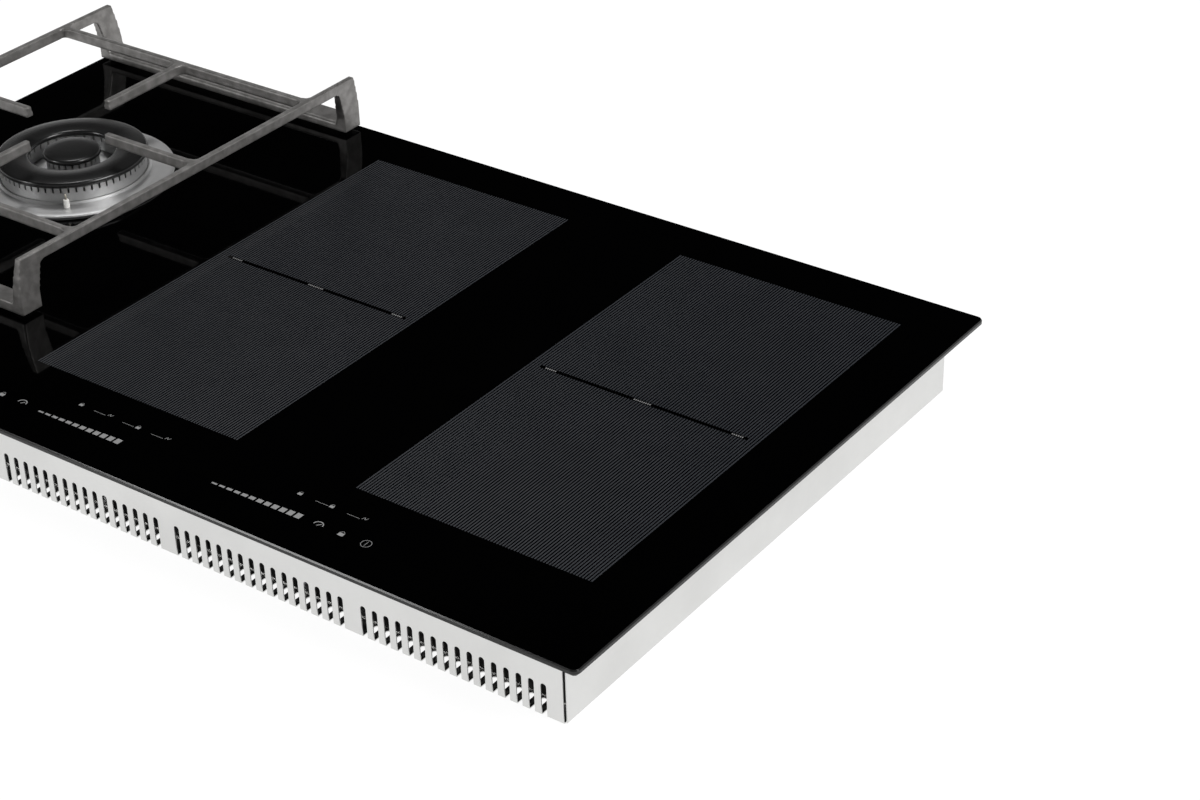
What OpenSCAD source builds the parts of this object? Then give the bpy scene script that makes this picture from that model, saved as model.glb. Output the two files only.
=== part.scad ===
// Built-in hybrid hob: black glass, two bridged induction zones and one wok gas burner.
// X runs to the right, Y to the back, Z up. The origin is under the middle of the casing's base.

/* [Glass] */
// Width of the glass top, left to right
glass_w = 900; // [880:5:940]
// Depth of the glass top, front to back
glass_d = 520; // [510:5:540]
// Thickness of the glass top
glass_t = 4; // [3:0.5:6]
// Radius of the glass top's corners
glass_corner_r = 5; // [3:1:15]
// Thickness of the foam seal under the rim
seal_t = 1.7; // [1:0.1:1.9]
// Width of the foam seal
seal_w = 10; // [6:1:11]
// Distance of the seal from the glass edge
seal_inset = 2.2; // [0.5:0.1:2.5]

/* [Casing] */
// Distance from the glass edge to the casing, at the sides
casing_side_inset = 22; // [18:1:30]
// Distance from the glass edge to the casing, at front and back
casing_front_inset = 17; // [15:1:25]
// Height of the sheet-metal casing
casing_h = 56.5; // [54:0.5:70]
// Thickness of the casing's sheet
sheet_t = 0.8; // [0.6:0.1:1.2]
// Outer radius of the casing's bends
bend_r = 1.4; // [1.3:0.1:3]
// Depth of the flange along the top of the casing
top_flange = 12; // [11:1:16]
// Depth of the flange under the front and back panels
base_flange = 30; // [28:1:40]
// Gap from the end of the front panel to the outer face of the side panel
panel_end_gap = 1.9; // [1.2:0.1:2.2]
// Gap from the front panel's face to the side panel's front edge
side_end_gap = 1.6; // [1.4:0.1:2.5]
// Thickness of the silicone bead that holds the glass
bond_t = 2; // [1.9:0.1:3]
// Width of the silicone bead
bond_w = 9; // [6:1:10]

/* [Vent slots] */
// Width of one vent slot
slot_w = 4.55; // [3:0.05:6]
// Distance between neighbouring slots
slot_pitch = 9.9; // [8:0.1:9.9]
// Slots in one group
slots_per_group = 16; // [4:1:16]
// Groups of slots along a panel
slot_groups = 5; // [1:1:5]
// Height of the slots' round tops above the base
slot_top = 26; // [15:1:35]
// How far the slots run into the base flange
slot_run = 14.5; // [10:0.5:18]

/* [Pan support] */
// Width of the pan support, left to right
support_w = 292; // [285:1:300]
// Gap between the pan support and the knob
support_knob_gap = 39; // [34:1:49]
// Height of the pan support's top above the glass
support_h = 50; // [48:1:60]
// Gap from the pan support to the glass edge
support_edge = 3.5; // [1:0.5:5]
// Thickness of the side frames at their base
side_frame_t = 11.4; // [9:0.2:13]
// Thickness of the side frames at their top
rail_t = 5; // [4:0.5:8]
// Depth of the corner legs
leg_d = 20; // [16:1:26]
// Height of the top rails and bars
rail_h = 9; // [8:0.5:12]
// Height of the base bars
base_bar_h = 9; // [7:0.5:12]
// How much lower the base bars are along their inner edge
base_bar_fall = 1.6; // [0:0.1:2]
// Width of the cross bars and fingers
bar_w = 7; // [5:0.5:9]
// Distance of the cross bars from the ends of the pan support
cross_bar_inset = 62; // [55:1:75]
// Radius of the open middle between the fingers
finger_r = 45; // [38:1:60]
// Radius of the fillets where bars meet
fillet_r = 5; // [4:0.5:14]
// Height of the rubber feet
foot_h = 3; // [2:0.5:4]
// Diameter of the rubber feet
foot_dia = 13; // [9:1:16]

/* [Burner] */
// Diameter of the burner's hole in the glass
burner_hole_dia = 150; // [149:1:156]
// Diameter of the burner's top plate
burner_plate_dia = 168; // [166:1:176]
// Thickness of the burner's top plate
burner_plate_t = 3; // [2.5:0.5:4]
// Thickness of the gasket under the top plate
gasket_t = 1; // [0.5:0.1:1.5]
// Outer radius of the flame ring
flame_ring_r = 61; // [59:0.5:61.5]
// Height of the flame ring
flame_ring_h = 14; // [13:0.5:15]
// Width of a flame port
port_w = 1.6; // [1:0.1:2]
// Ports around the outside of the flame ring
ring_ports = 60; // [30:2:66]
// Thickness of the burner caps
cap_t = 5; // [4:0.5:5.5]
// Radius at which the spark electrode and the flame sensor stand
probe_r = 67; // [66.5:0.1:67.5]

/* [Control knob] */
// Distance from the glass front edge to the knob's axis
knob_front = 58; // [55:1:60]
// Diameter of the knob
knob_dia = 44; // [36:1:48]
// Height of the knob
knob_h = 20; // [16:1:24]
// Travel of the knob when pushed
knob_travel = 4; // [2:0.5:4]
// Diameter of the knob's bezel
bezel_dia = 54; // [50:1:60]
// Thickness of the bezel
bezel_t = 2.5; // [2:0.5:4]
// Diameter of the valve stem
stem_dia = 8; // [7:0.5:9]
// Running clearance around a turning shaft
running_gap = 0.05; // [0.03:0.01:0.08]

/* [Induction] */
// Distance from the right glass edge to the right zone
zone_side = 46.2; // [40:0.1:56]
// Gap between the two bridged cooking zones
zone_gap = 108; // [100:1:116]
// Gap between the left zone and the pan support
zone_support_gap = 52.3; // [46:0.1:60]
// Distance from the front glass edge to the zones
zone_front = 82.7; // [80:0.1:90]
// Distance from the back glass edge to the zones
zone_back = 42.8; // [38:0.1:50]
// Distance from a coil's rim to the edge of its half of the zone
coil_margin = 8.625; // [7:0.125:14]
// Inner radius of an induction coil
coil_bore_r = 24; // [18:1:30]
// Thickness of an induction coil
coil_t = 4; // [3:0.5:5]
// Thickness of the mica sheet over the coils
mica_t = 0.5; // [0.4:0.1:1]
// Ferrite bars under one coil
ferrites_per_coil = 8; // [4:1:8]
// Side of a square blower housing
blower_side = 92; // [90:1:100]
// Height of a blower housing
blower_h = 26; // [26:1:30]
// Radius of a blower's wheel
wheel_r = 33; // [30:1:36]
// Blades of a blower's wheel
wheel_blades = 28; // [12:1:30]

/* [Touch controls] */
// Length of the touch board
touch_board_w = 380; // [340:5:390]
// Depth of the touch board
touch_board_d = 46; // [40:1:50]
// Distance from the glass front edge to the touch board's centre line
touch_front = 46; // [44:1:48]
// How far the touch board reaches past the left zone
touch_reach = 12.5; // [8:0.5:12.5]
// Touch pads along the board
touch_pad_count = 14; // [6:1:14]

/* [Hidden] */
$fn = 48;

// Gap between a lifted part and its flat seat
seat_gap = 0.05;
// Clearance of a part that drops into a hole
slip_gap = 0.1;

// Casing
casing_w = glass_w - 2 * casing_side_inset;
casing_d = glass_d - 2 * casing_front_inset;
glass_z = casing_h + bond_t;
top_z = glass_z + glass_t;
floor_z = 2 * sheet_t;
plate_front = slot_run + 2;
front_y = -casing_d / 2;
screw_y = casing_d / 2 - (plate_front + base_flange) / 2;
screw_pitch = casing_w / 4.5;
screw_head_r = 3.2;
screw_shank_r = 1.75;
clamp_hole_r = 2.1;
clamp_inset_x = 38;
clamp_inset_y = 63;
clamp_x = casing_w / 2 - clamp_inset_x;
clamp_y = casing_d / 2 - clamp_inset_y;
slot_positions = slot_groups * (slots_per_group + 1) - 1;

// Gas side
support_d = glass_d - support_edge - knob_front - knob_dia / 2 - support_knob_gap;
cross_bar_y = support_d / 2 - cross_bar_inset;
gas_x = -glass_w / 2 + support_edge + support_w / 2;
burner_y = glass_d / 2 - support_edge - support_d / 2;
knob_y = -glass_d / 2 + knob_front;
divider_gap = 26;
divider_x = gas_x + support_w / 2 + divider_gap;
gas_air_offset = 95;

// Burner, from the bottom up
bracket_z = 16;
bracket_t = 1.2;
venturi_z = 30;
skirt_r = burner_hole_dia / 2 - 2;
plate_z = top_z + gasket_t;
plate_top = plate_z + burner_plate_t;
spreader_z = plate_top + seat_gap;
spreader_floor = 2;
ring_wall = 3;
ring_in_r = flame_ring_r - 23;
ring_mid_r = (flame_ring_r + ring_in_r) / 2;
centre_ring_r = 22;
centre_ring_h = flame_ring_h + 1;
cap_over = 2;
cap_z = spreader_z + flame_ring_h + seat_gap;
centre_cap_z = spreader_z + centre_ring_h + seat_gap;
boss_r = 5;
boss_circle_r = 55;
boss_angles = [90, 210, 330];
outer_venturi_angle = 150;
venturi_out_r = 11;
venturi_in_r = 7;
throat = [[0, 0], ring_mid_r * [cos(outer_venturi_angle), sin(outer_venturi_angle)]];
electrode_angle = -50;
sensor_angle = -130;
electrode_r = 2.5;
sensor_r = 2;
electrode_xy = [gas_x, burner_y] + probe_r * [cos(electrode_angle), sin(electrode_angle)];
sensor_xy = [gas_x, burner_y] + probe_r * [cos(sensor_angle), sin(sensor_angle)];
injector_gap = 2;
injector_r = 4;
holder_side = 16;
holder_h = bracket_z - 5;
holder_z = bracket_z - holder_h;
pipe_z = holder_z + holder_h / 2;
burner_pipe_r = 3;
supply_pipe_r = 5;

// Valve and knob
valve_w = 24;
valve_d = 40;
valve_z = 14;
valve_top = 42;
valve_neck_r = 8;
neck_top = 45;
stem_z = 27;
ring_z = neck_top + knob_travel + 1.3;
ring_t = 2.5;
ring_r = 10;
collar_z = ring_z + ring_t + seat_gap;
collar_t = 1.6;
collar_r = 5.6;
stem_hole_r = 7;
shaft_r = 3;
shaft_flat = 1.8;
knob_seal_t = 0.5;
bezel_z = top_z + knob_seal_t;
knob_z = bezel_z + bezel_t + knob_travel + 0.4;
knob_bore_top = knob_z + knob_h - 6;
outlet_x = [7, -7];
outlet_z = valve_z + 6;
nut_r = 6;
nut_h = 6;
magnet_r = 6.5;
magnet_l = 24;
magnet_z = valve_z + 20.5;
pipe_seat = 3;
supply_offset = 12;
inlet_x = gas_x - 93.5;
inlet_z = 24;
inlet_r = 10.475;
inlet_bore_r = 7;
inlet_nut_r = 15.5;
inlet_nut_t = 4;
inlet_thread_l = 11.4;
inlet_relief = 0.4;
inlet_end = glass_d / 2 - 1;
inlet_back = casing_d / 2 - sheet_t;
burner_pipe_start = 16;
burner_pipe_drop = 40;

// Ignition module, beside the divider
ignition_box = [46, 70, 26];
ignition_ear = [8, 2.5];
ignition_x = divider_x - 16 - ignition_box[0];
ignition_y = knob_y + 40;
ignition_lead_z = 10;

// Induction side
zone_w = (glass_w - support_edge - support_w - zone_support_gap - zone_gap - zone_side) / 2;
zone_d = glass_d - zone_front - zone_back;
zone_pitch = zone_w + zone_gap;
coil_r = min(zone_w / 2, zone_d / 4) - coil_margin;
zone_right_x = glass_w / 2 - zone_side - zone_w / 2;
zone_xs = [zone_right_x - zone_pitch, zone_right_x];
zone_y = -glass_d / 2 + zone_front + zone_d / 2;
coil_dy = zone_d / 4;
mica_z = glass_z - mica_t;
coil_z = mica_z - coil_t;
carrier_t = 4;
carrier_z = coil_z - carrier_t;
carrier_r = coil_r + 3;
ferrite = [coil_r - coil_bore_r - 14, 14, 4];
ferrite_z = carrier_z - ferrite[2];
coil_plate_t = 1.2;
coil_plate_z = ferrite_z - coil_plate_t;
coil_plate_w = zone_w + 4;
coil_plate_d = zone_d + 4;
sensor_cup_r = 5;
post_r = 4;
post_inset = 8;
board_front_gap = 12.25;
blower_front_gap = 29;
blower_back_gap = 61.25;
board = [zone_w - 15, zone_d - blower_side - board_front_gap - blower_front_gap - blower_back_gap, 1.6];
board_z = floor_z + 6.4;
board_y = zone_y - zone_d / 2 + board_front_gap + board[1] / 2;
standoff_r = 3;
sink = [56, board[1] - 20, 26];
sink_base = 4;
sink_fins = 9;
sink_inset = 12;
sink_x = -board[0] / 2 + sink_inset + sink[0] / 2;
blower_y = zone_y + zone_d / 2 - blower_back_gap - blower_side / 2;
blower_wall = 1.5;
wheel_z = floor_z + 5;
wheel_h = blower_h - 10;
shaft_pin_r = 1.5;

// Touch board, mains entry
touch_x = zone_xs[0] - zone_w / 2 - touch_reach + touch_board_w / 2;
touch_y = -glass_d / 2 + touch_front;
touch_z = glass_z - 9;
touch_board_t = 1.6;
carrier_tray_t = 3;
pad_r = 4.5;
pad_pitch = (touch_board_w - 20) / touch_pad_count;
entry_x = (zone_xs[0] + zone_xs[1]) / 2;
entry_z = 20;
gland_r = 10;
gland_bore_r = 5.5;
gland_flange_r = 14;
gland_in = 12;
gland_out = 5;
terminal = [52, 30, 18];
terminal_y = casing_d / 2 - 46;

steel = "gainsboro";
iron = "#303030";
plastic = "#3a3d40";
alloy = "silver";
brass = "goldenrod";

// Points of an arc about c, from angle a0 to a1
function arc(c, r, a0, a1, n = 6) =
  [for (i = [0:n]) c + r * [cos(a0 + (a1 - a0) * i / n), sin(a0 + (a1 - a0) * i / n)]];

// Block between two corners
module block(low, high) {
  translate(low) cube(high - low);
}

// Flat rectangle with round corners, about the origin
module rounded_rect(w, d, r) {
  square([w - 2 * r, d], center = true);
  square([w, d - 2 * r], center = true);
  for (x = [-1, 1], y = [-1, 1]) translate([x * (w / 2 - r), y * (d / 2 - r)]) circle(r);
}

// Straight tube along Z
module tube(r_out, r_in, h) {
  difference() {
    cylinder(r = r_out, h = h);
    translate([0, 0, -1]) cylinder(r = r_in, h = h + 2);
  }
}

// Turns Z into the direction from point a to point b, and moves to a
module along(a, b) {
  d = b - a;
  translate(a) rotate([0, acos(d[2] / norm(d)), atan2(d[1], d[0])]) children();
}

// Pipe through a list of points, with bends that bulge a little, as bent tube does
module pipe(points, r) {
  bulge = 1.06;
  for (i = [0:len(points) - 2]) along(points[i], points[i + 1]) {
    cylinder(r = r, h = norm(points[i + 1] - points[i]));
    if (i > 0) sphere(r * bulge);
  }
}

// Section of a bent sheet: a wall with a flange along its top and its base
module bent_sheet(h, top, base) {
  polygon(concat([[top, h]], arc([bend_r, h - bend_r], bend_r, 90, 180),
    arc([bend_r, bend_r], bend_r, 180, 270), [[base, 0], [base, sheet_t]],
    arc([bend_r, bend_r], bend_r - sheet_t, 270, 180),
    arc([bend_r, h - bend_r], bend_r - sheet_t, 180, 90), [[top, h - sheet_t]]));
}

// One vent slot in the front wall and on into the base flange
module vent_slot() {
  r = slot_w / 2;
  translate([0, front_y - 1, 0]) rotate([-90, 0, 0]) linear_extrude(bend_r + 2) {
    translate([-r, -(slot_top - r)]) square([slot_w, slot_top]);
    translate([0, -(slot_top - r)]) circle(r, $fn = 24);
  }
  translate([0, front_y, -1]) linear_extrude(sheet_t + 2) {
    translate([-r, 0]) square([slot_w, slot_run - r]);
    translate([0, slot_run - r]) circle(r, $fn = 24);
  }
}

// Places of the screws that join the front panel and the bottom plate
module at_front_screws() {
  for (i = [-2:2]) translate([i * screw_pitch, -screw_y, 0]) children();
}

// Front wall of the casing, bent inwards at its top and base
module front_wall() {
  length = casing_w - 2 * panel_end_gap;
  difference() {
    translate([-length / 2, front_y, 0]) rotate([90, 0, 90])
      linear_extrude(length) bent_sheet(casing_h, top_flange, base_flange);
    for (i = [0:slot_positions - 1])
      if (i % (slots_per_group + 1) != slots_per_group)
        translate([(i - (slot_positions - 1) / 2) * slot_pitch, 0, 0]) vent_slot();
    at_front_screws() screw_hole();
  }
}

// Hole for a countersunk screw through flange and plate
module screw_hole() {
  g = slip_gap / 2;
  translate([0, 0, -g]) cylinder(r1 = screw_head_r + g, r2 = screw_shank_r + g, h = floor_z + g);
  translate([0, 0, floor_z - g]) cylinder(r = screw_shank_r + g, h = 2);
  translate([0, 0, -1]) cylinder(r = screw_head_r + g, h = 1);
}

// Countersunk screw, flush with the base
module countersunk_screw(length) {
  cylinder(r1 = screw_head_r, r2 = screw_shank_r, h = floor_z);
  translate([0, 0, floor_z]) cylinder(r = screw_shank_r, h = length - floor_z);
}

// Side wall of the casing, with flanges that stop short of the front and back panels
module side_wall() {
  length = casing_d - 2 * side_end_gap;
  difference() {
    translate([-casing_w / 2, length / 2, 0]) rotate([90, 0, 0])
      linear_extrude(length) bent_sheet(casing_h, top_flange, top_flange);
    for (s = [-1, 1]) {
      translate([-casing_w / 2 + sheet_t, s * casing_d / 2 - top_flange - 1, casing_h - bend_r])
        cube([top_flange, 2 * top_flange + 2, 2 * bend_r]);
      translate([-casing_w / 2 + sheet_t, s * casing_d / 2 - base_flange - 1, -bend_r])
        cube([top_flange, 2 * base_flange + 2, 2 * bend_r]);
    }
  }
}

module glass_top() {
  color("#101012") difference() {
    translate([0, 0, glass_z]) linear_extrude(glass_t) rounded_rect(glass_w, glass_d, glass_corner_r);
    translate([gas_x, burner_y, glass_z - 1]) cylinder(d = burner_hole_dia, h = glass_t + 2);
    translate([gas_x, knob_y, glass_z - 1]) cylinder(r = stem_hole_r, h = glass_t + 2);
  }
}

module glass_seal() {
  w = glass_w - 2 * seal_inset;
  d = glass_d - 2 * seal_inset;
  color("#1c1c1c") translate([0, 0, glass_z - seal_t]) linear_extrude(seal_t) difference() {
    rounded_rect(w, d, glass_corner_r - seal_inset);
    rounded_rect(w - 2 * seal_w, d - 2 * seal_w, 1);
  }
}

module glass_bond() {
  w = casing_w - 2 * bend_r;
  d = casing_d - 2 * bend_r;
  color("#262626") translate([0, 0, casing_h]) linear_extrude(bond_t) difference() {
    rounded_rect(w, d, 2);
    rounded_rect(w - 2 * bond_w, d - 2 * bond_w, 1);
  }
}

module front_panel() {
  color(steel) front_wall();
}

module back_panel() {
  color(steel) difference() {
    mirror([0, 1, 0]) front_wall();
    translate([inlet_x, casing_d / 2 - 8, inlet_z]) rotate([-90, 0, 0])
      cylinder(r = inlet_r + slip_gap, h = 16);
    translate([entry_x, casing_d / 2 - 8, entry_z]) rotate([-90, 0, 0])
      cylinder(r = gland_r + slip_gap, h = 16);
  }
}

module left_side_panel() {
  color(steel) side_wall();
}

module right_side_panel() {
  color(steel) mirror([1, 0, 0]) side_wall();
}

// Row of long air holes, about the origin
module air_holes(count, length, pitch) {
  for (i = [0:count - 1]) translate([(i - (count - 1) / 2) * pitch, 0, 0]) {
    block([-2.5, -length / 2, -1], [2.5, length / 2, floor_z + 1]);
    for (s = [-1, 1]) translate([0, s * length / 2, -1]) cylinder(r = 2.5, h = floor_z + 2, $fn = 24);
  }
}

module bottom_plate() {
  edge_x = casing_w / 2 - bend_r;
  edge_y = casing_d / 2 - plate_front;
  color(steel) difference() {
    block([-edge_x, -edge_y, sheet_t], [edge_x, edge_y, floor_z]);
    for (x = zone_xs) translate([x, blower_y, 0]) air_holes(5, 36, 9);
    translate([gas_x, burner_y - gas_air_offset, 0]) air_holes(9, 40, 12);
    for (x = [-1, 1], y = [-1, 1])
      translate([x * clamp_x, y * clamp_y, 0]) cylinder(r = clamp_hole_r, h = 2 * floor_z);
    at_front_screws() screw_hole();
    mirror([0, 1, 0]) at_front_screws() screw_hole();
  }
}

module divider_wall() {
  length = casing_d - 2 * side_end_gap - 2 * top_flange;
  color(steel) translate([divider_x, length / 2, floor_z]) rotate([90, 0, 0])
    linear_extrude(length) bent_sheet(casing_h - floor_z, top_flange, top_flange);
}

module screws() {
  color("#8a8d90") {
    at_front_screws() countersunk_screw(7);
    mirror([0, 1, 0]) at_front_screws() countersunk_screw(7);
    at_burner(boss_circle_r) translate([0, 0, bracket_z - 2.2]) {
      cylinder(r = 3.4, h = 2.2);
      translate([0, 0, 2.2]) cylinder(r = 1.9, h = 10);
    }
  }
}

// Places of the three bosses that hold the burner
module at_burner(r) {
  for (a = boss_angles) translate([gas_x + r * cos(a), burner_y + r * sin(a), 0]) children();
}

// Outline of a side frame, seen from the side: a rail on two tapered legs
module side_frame_outline() {
  h = support_h;
  half = support_d / 2;
  top_r = 3;
  inner_r = 5;
  right = concat([[half, foot_h], [half, foot_h + base_bar_h + 8]],
    [[half - 1.4, h * 0.66]], arc([half - 4 - top_r, h - top_r], top_r, 8, 90));
  left = concat([[half - leg_d, foot_h], [half - leg_d, foot_h + base_bar_h + 4]],
    arc([half - leg_d - 4 - inner_r, h - rail_h - inner_r], inner_r, 0, 90));
  flip = function (list) [for (i = [len(list) - 1:-1:0]) [-list[i][0], list[i][1]]];
  same = function (list) [for (i = [len(list) - 1:-1:0]) list[i]];
  polygon(concat(right, flip(right), flip(same(left)), same(left)));
}

// Concave corner piece between two bars at right angles
module fillet(r, h) {
  linear_extrude(h) difference() {
    square(r);
    translate([r, r]) circle(r);
  }
}

// Side frame with an upright outer face and an inner face that leans towards it
module side_frame() {
  half_w = support_w / 2;
  inner_x = half_w - side_frame_t;
  lean = (side_frame_t - rail_t) / (support_h - foot_h);
  over = 5;
  intersection() {
    translate([inner_x - 1, 0, 0]) rotate([90, 0, 90]) linear_extrude(side_frame_t + 1)
      side_frame_outline();
    translate([0, support_d, 0]) rotate([90, 0, 0]) linear_extrude(2 * support_d)
      polygon([[inner_x - over * lean, foot_h - over], [half_w + over, foot_h - over],
        [half_w + over, support_h + over], [half_w - rail_t + over * lean, support_h + over]]);
  }
}

module pan_support() {
  half_d = support_d / 2;
  rail_x = support_w / 2 - rail_t;
  bar_z = support_h - rail_h;
  color(iron) translate([gas_x, burner_y, top_z]) difference() {
    union() {
      for (s = [0, 1]) mirror([s, 0, 0]) {
        side_frame();
        block([finger_r, -bar_w / 2, bar_z], [rail_x + 1, bar_w / 2, support_h]);
        for (t = [0, 1]) mirror([0, t, 0]) {
          translate([rail_x, bar_w / 2, bar_z]) rotate([0, 0, 90]) fillet(fillet_r, rail_h);
          translate([rail_x, cross_bar_y + bar_w / 2, bar_z]) rotate([0, 0, 90])
            fillet(fillet_r, rail_h);
          translate([rail_x, cross_bar_y - bar_w / 2, bar_z]) rotate([0, 0, 180])
            fillet(fillet_r, rail_h);
          translate([bar_w / 2, cross_bar_y - bar_w / 2, bar_z]) rotate([0, 0, -90])
            fillet(fillet_r, rail_h);
        }
      }
      for (t = [0, 1]) mirror([0, t, 0]) {
        translate([-rail_x, 0, 0]) rotate([90, 0, 90]) linear_extrude(2 * rail_x)
          polygon([[half_d - leg_d, foot_h], [half_d, foot_h], [half_d, foot_h + base_bar_h],
            [half_d - leg_d, foot_h + base_bar_h - base_bar_fall]]);
        block([-rail_x - 1, cross_bar_y - bar_w / 2, bar_z],
          [rail_x + 1, cross_bar_y + bar_w / 2, support_h]);
        block([-bar_w / 2, finger_r, bar_z], [bar_w / 2, cross_bar_y, support_h]);
      }
    }
    at_feet() translate([0, 0, foot_h - 1]) cylinder(r = 2.5 + running_gap, h = 6);
  }
}

// Places of the four feet, about the burner's axis
module at_feet() {
  for (x = [-1, 1], y = [-1, 1])
    translate([x * (support_w / 2 - leg_d / 2), y * (support_d / 2 - leg_d / 2), 0]) children();
}

module pan_support_feet() {
  color("#161616") translate([gas_x, burner_y, top_z]) at_feet() {
    translate([0, 0, seat_gap]) cylinder(d = foot_dia, h = foot_h - seat_gap);
    translate([0, 0, foot_h]) cylinder(r = 2.5, h = 4);
  }
}

module burner_base() {
  color(alloy) difference() {
    union() {
      translate([gas_x, burner_y, plate_z]) cylinder(d = burner_plate_dia, h = burner_plate_t);
      translate([gas_x, burner_y, 0]) {
        translate([0, 0, venturi_z]) tube(skirt_r, skirt_r - 3, plate_z - venturi_z + 1);
        translate([0, 0, plate_top - 1]) tube(flame_ring_r + 2.2, flame_ring_r + 0.5, 2.5);
      }
      for (p = throat) translate([gas_x + p[0], burner_y + p[1], venturi_z])
        cylinder(r = venturi_out_r, h = plate_z - venturi_z + 1);
      at_burner(boss_circle_r) translate([0, 0, bracket_z + bracket_t])
        cylinder(r = boss_r, h = plate_z - bracket_z);
    }
    for (p = throat) translate([gas_x + p[0], burner_y + p[1], venturi_z - 1])
      cylinder(r = venturi_in_r, h = plate_top - venturi_z + 3);
    at_burner(boss_circle_r) translate([0, 0, bracket_z - 1]) cylinder(r = 2, h = 13);
    translate([electrode_xy[0], electrode_xy[1], plate_z - 3])
      cylinder(r = electrode_r + slip_gap, h = burner_plate_t + 6);
    translate([sensor_xy[0], sensor_xy[1], plate_z - 3])
      cylinder(r = sensor_r + slip_gap, h = burner_plate_t + 6);
  }
}

module burner_gasket() {
  color("#4a4a4a") translate([gas_x, burner_y, top_z])
    tube(burner_plate_dia / 2 - 1, burner_hole_dia / 2 + 1, gasket_t);
}

module burner_bracket() {
  half_w = 66;
  back = boss_circle_r + 10;
  front = -40;
  color(steel) difference() {
    translate([gas_x, burner_y, 0]) {
      block([-half_w, front, bracket_z], [half_w, back, bracket_z + bracket_t]);
      for (s = [0, 1]) mirror([s, 0, 0]) {
        block([half_w - bracket_t, front, floor_z], [half_w, back, bracket_z + bracket_t]);
        block([half_w - bracket_t, front, floor_z], [half_w + 12, back, floor_z + bracket_t]);
      }
    }
    at_burner(boss_circle_r) cylinder(r = 2, h = bracket_z + 5);
    for (p = throat) translate([gas_x + p[0], burner_y + p[1], bracket_z - 1])
      cylinder(r = injector_r + 0.5, h = 4);
  }
}

// Ring of flame ports through a wall between two radii, open at the top
module ports(count, r_in, r_out, z, h) {
  for (i = [0:count - 1]) rotate([0, 0, i * 360 / count])
    block([r_in - 1, -port_w / 2, z], [r_out + 1, port_w / 2, z + h]);
}

module flame_spreader() {
  port_h = 5;
  port_z = flame_ring_h - port_h;
  arm_w = 9;
  color("#a9abad") translate([gas_x, burner_y, spreader_z]) difference() {
    union() {
      difference() {
        tube(flame_ring_r, ring_in_r, flame_ring_h);
        translate([0, 0, spreader_floor]) tube(flame_ring_r - ring_wall, ring_in_r + ring_wall, 99);
        ports(ring_ports, flame_ring_r - ring_wall, flame_ring_r, port_z, port_h + 1);
        ports(ring_ports / 2, ring_in_r, ring_in_r + ring_wall, port_z, port_h + 1);
      }
      difference() {
        cylinder(r = centre_ring_r, h = centre_ring_h);
        translate([0, 0, spreader_floor]) cylinder(r = centre_ring_r - ring_wall, h = 99);
        ports(24, centre_ring_r - ring_wall, centre_ring_r, centre_ring_h - port_h, port_h + 1);
      }
      for (a = [30, 150, 270]) rotate([0, 0, a])
        block([centre_ring_r - 1, -arm_w / 2, 0], [ring_in_r + 1, arm_w / 2, 5]);
    }
    for (p = throat) translate([p[0], p[1], -1]) cylinder(r = venturi_in_r, h = spreader_floor + 1.5);
  }
}

// Section of a cap's rim: flat below, crowned above, between two radii
module cap_section(r_in, r_out, t) {
  round_r = t * 0.45;
  crown = t - round_r;
  inner = r_in > 0 ? arc([r_in + round_r, t - round_r], round_r, 90, 180) : [[0, t]];
  polygon(concat([[r_in, 0], [r_out, 0]],
    arc([r_out - round_r, crown - 0.8], round_r, 0, 70), inner));
}

module outer_cap() {
  color("#1a1a1c") translate([gas_x, burner_y, cap_z])
    rotate_extrude($fn = 96) cap_section(ring_in_r - cap_over, flame_ring_r + cap_over, cap_t);
}

module inner_cap() {
  color("#1a1a1c") translate([gas_x, burner_y, centre_cap_z])
    rotate_extrude($fn = 96) cap_section(0, centre_ring_r + cap_over, cap_t);
}

module spark_electrode() {
  tip_z = cap_z - 3;
  color("white") translate([electrode_xy[0], electrode_xy[1], 0]) {
    translate([0, 0, venturi_z]) cylinder(r = electrode_r, h = plate_top + 7 - venturi_z);
    translate([0, 0, plate_top + 7]) cylinder(r = 1, h = tip_z - plate_top - 7, $fn = 24);
  }
}

module flame_sensor() {
  lead_r = 1;
  lead_z = venturi_z - 8;
  magnet_end = knob_y + valve_d / 2 + magnet_l + 0.05;
  x = sensor_xy[0];
  color("#b5a642") {
    translate([x, sensor_xy[1], venturi_z]) cylinder(r = sensor_r, h = cap_z - 2 - venturi_z);
    pipe([[x, sensor_xy[1], venturi_z + 1], [x, sensor_xy[1], lead_z], [x, magnet_end + 60, lead_z],
      [gas_x, magnet_end + 16, magnet_z], [gas_x, magnet_end, magnet_z]], lead_r);
  }
}

module injectors() {
  color(brass) for (p = throat) translate([gas_x + p[0], burner_y + p[1], 0]) difference() {
    union() {
      translate([0, 0, holder_z + holder_h]) cylinder(r = injector_r, h = 3.5);
      translate([0, 0, holder_z + holder_h + 3]) cylinder(r = injector_r + 0.6, h = 5, $fn = 6);
      translate([0, 0, holder_z + holder_h + 7]) cylinder(r1 = 3.4, r2 = 2.2,
        h = venturi_z - injector_gap - holder_z - holder_h - 7);
      translate([0, 0, holder_z + 7]) cylinder(r = 2.9, h = holder_h - 6);
    }
    translate([0, 0, holder_z + 6]) cylinder(r = 0.6, h = 40, $fn = 24);
  }
}

module injector_holders() {
  color(alloy) for (p = throat) translate([gas_x + p[0], burner_y + p[1], holder_z]) difference() {
    block([-holder_side / 2, -holder_side / 2, 0], [holder_side / 2, holder_side / 2, holder_h]);
    translate([0, 0, 6.5]) cylinder(r = 2.9 + running_gap, h = holder_h);
    translate([0, -holder_side / 2 - 1, holder_h / 2]) rotate([-90, 0, 0])
      cylinder(r = burner_pipe_r + running_gap, h = 6);
  }
}

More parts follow.
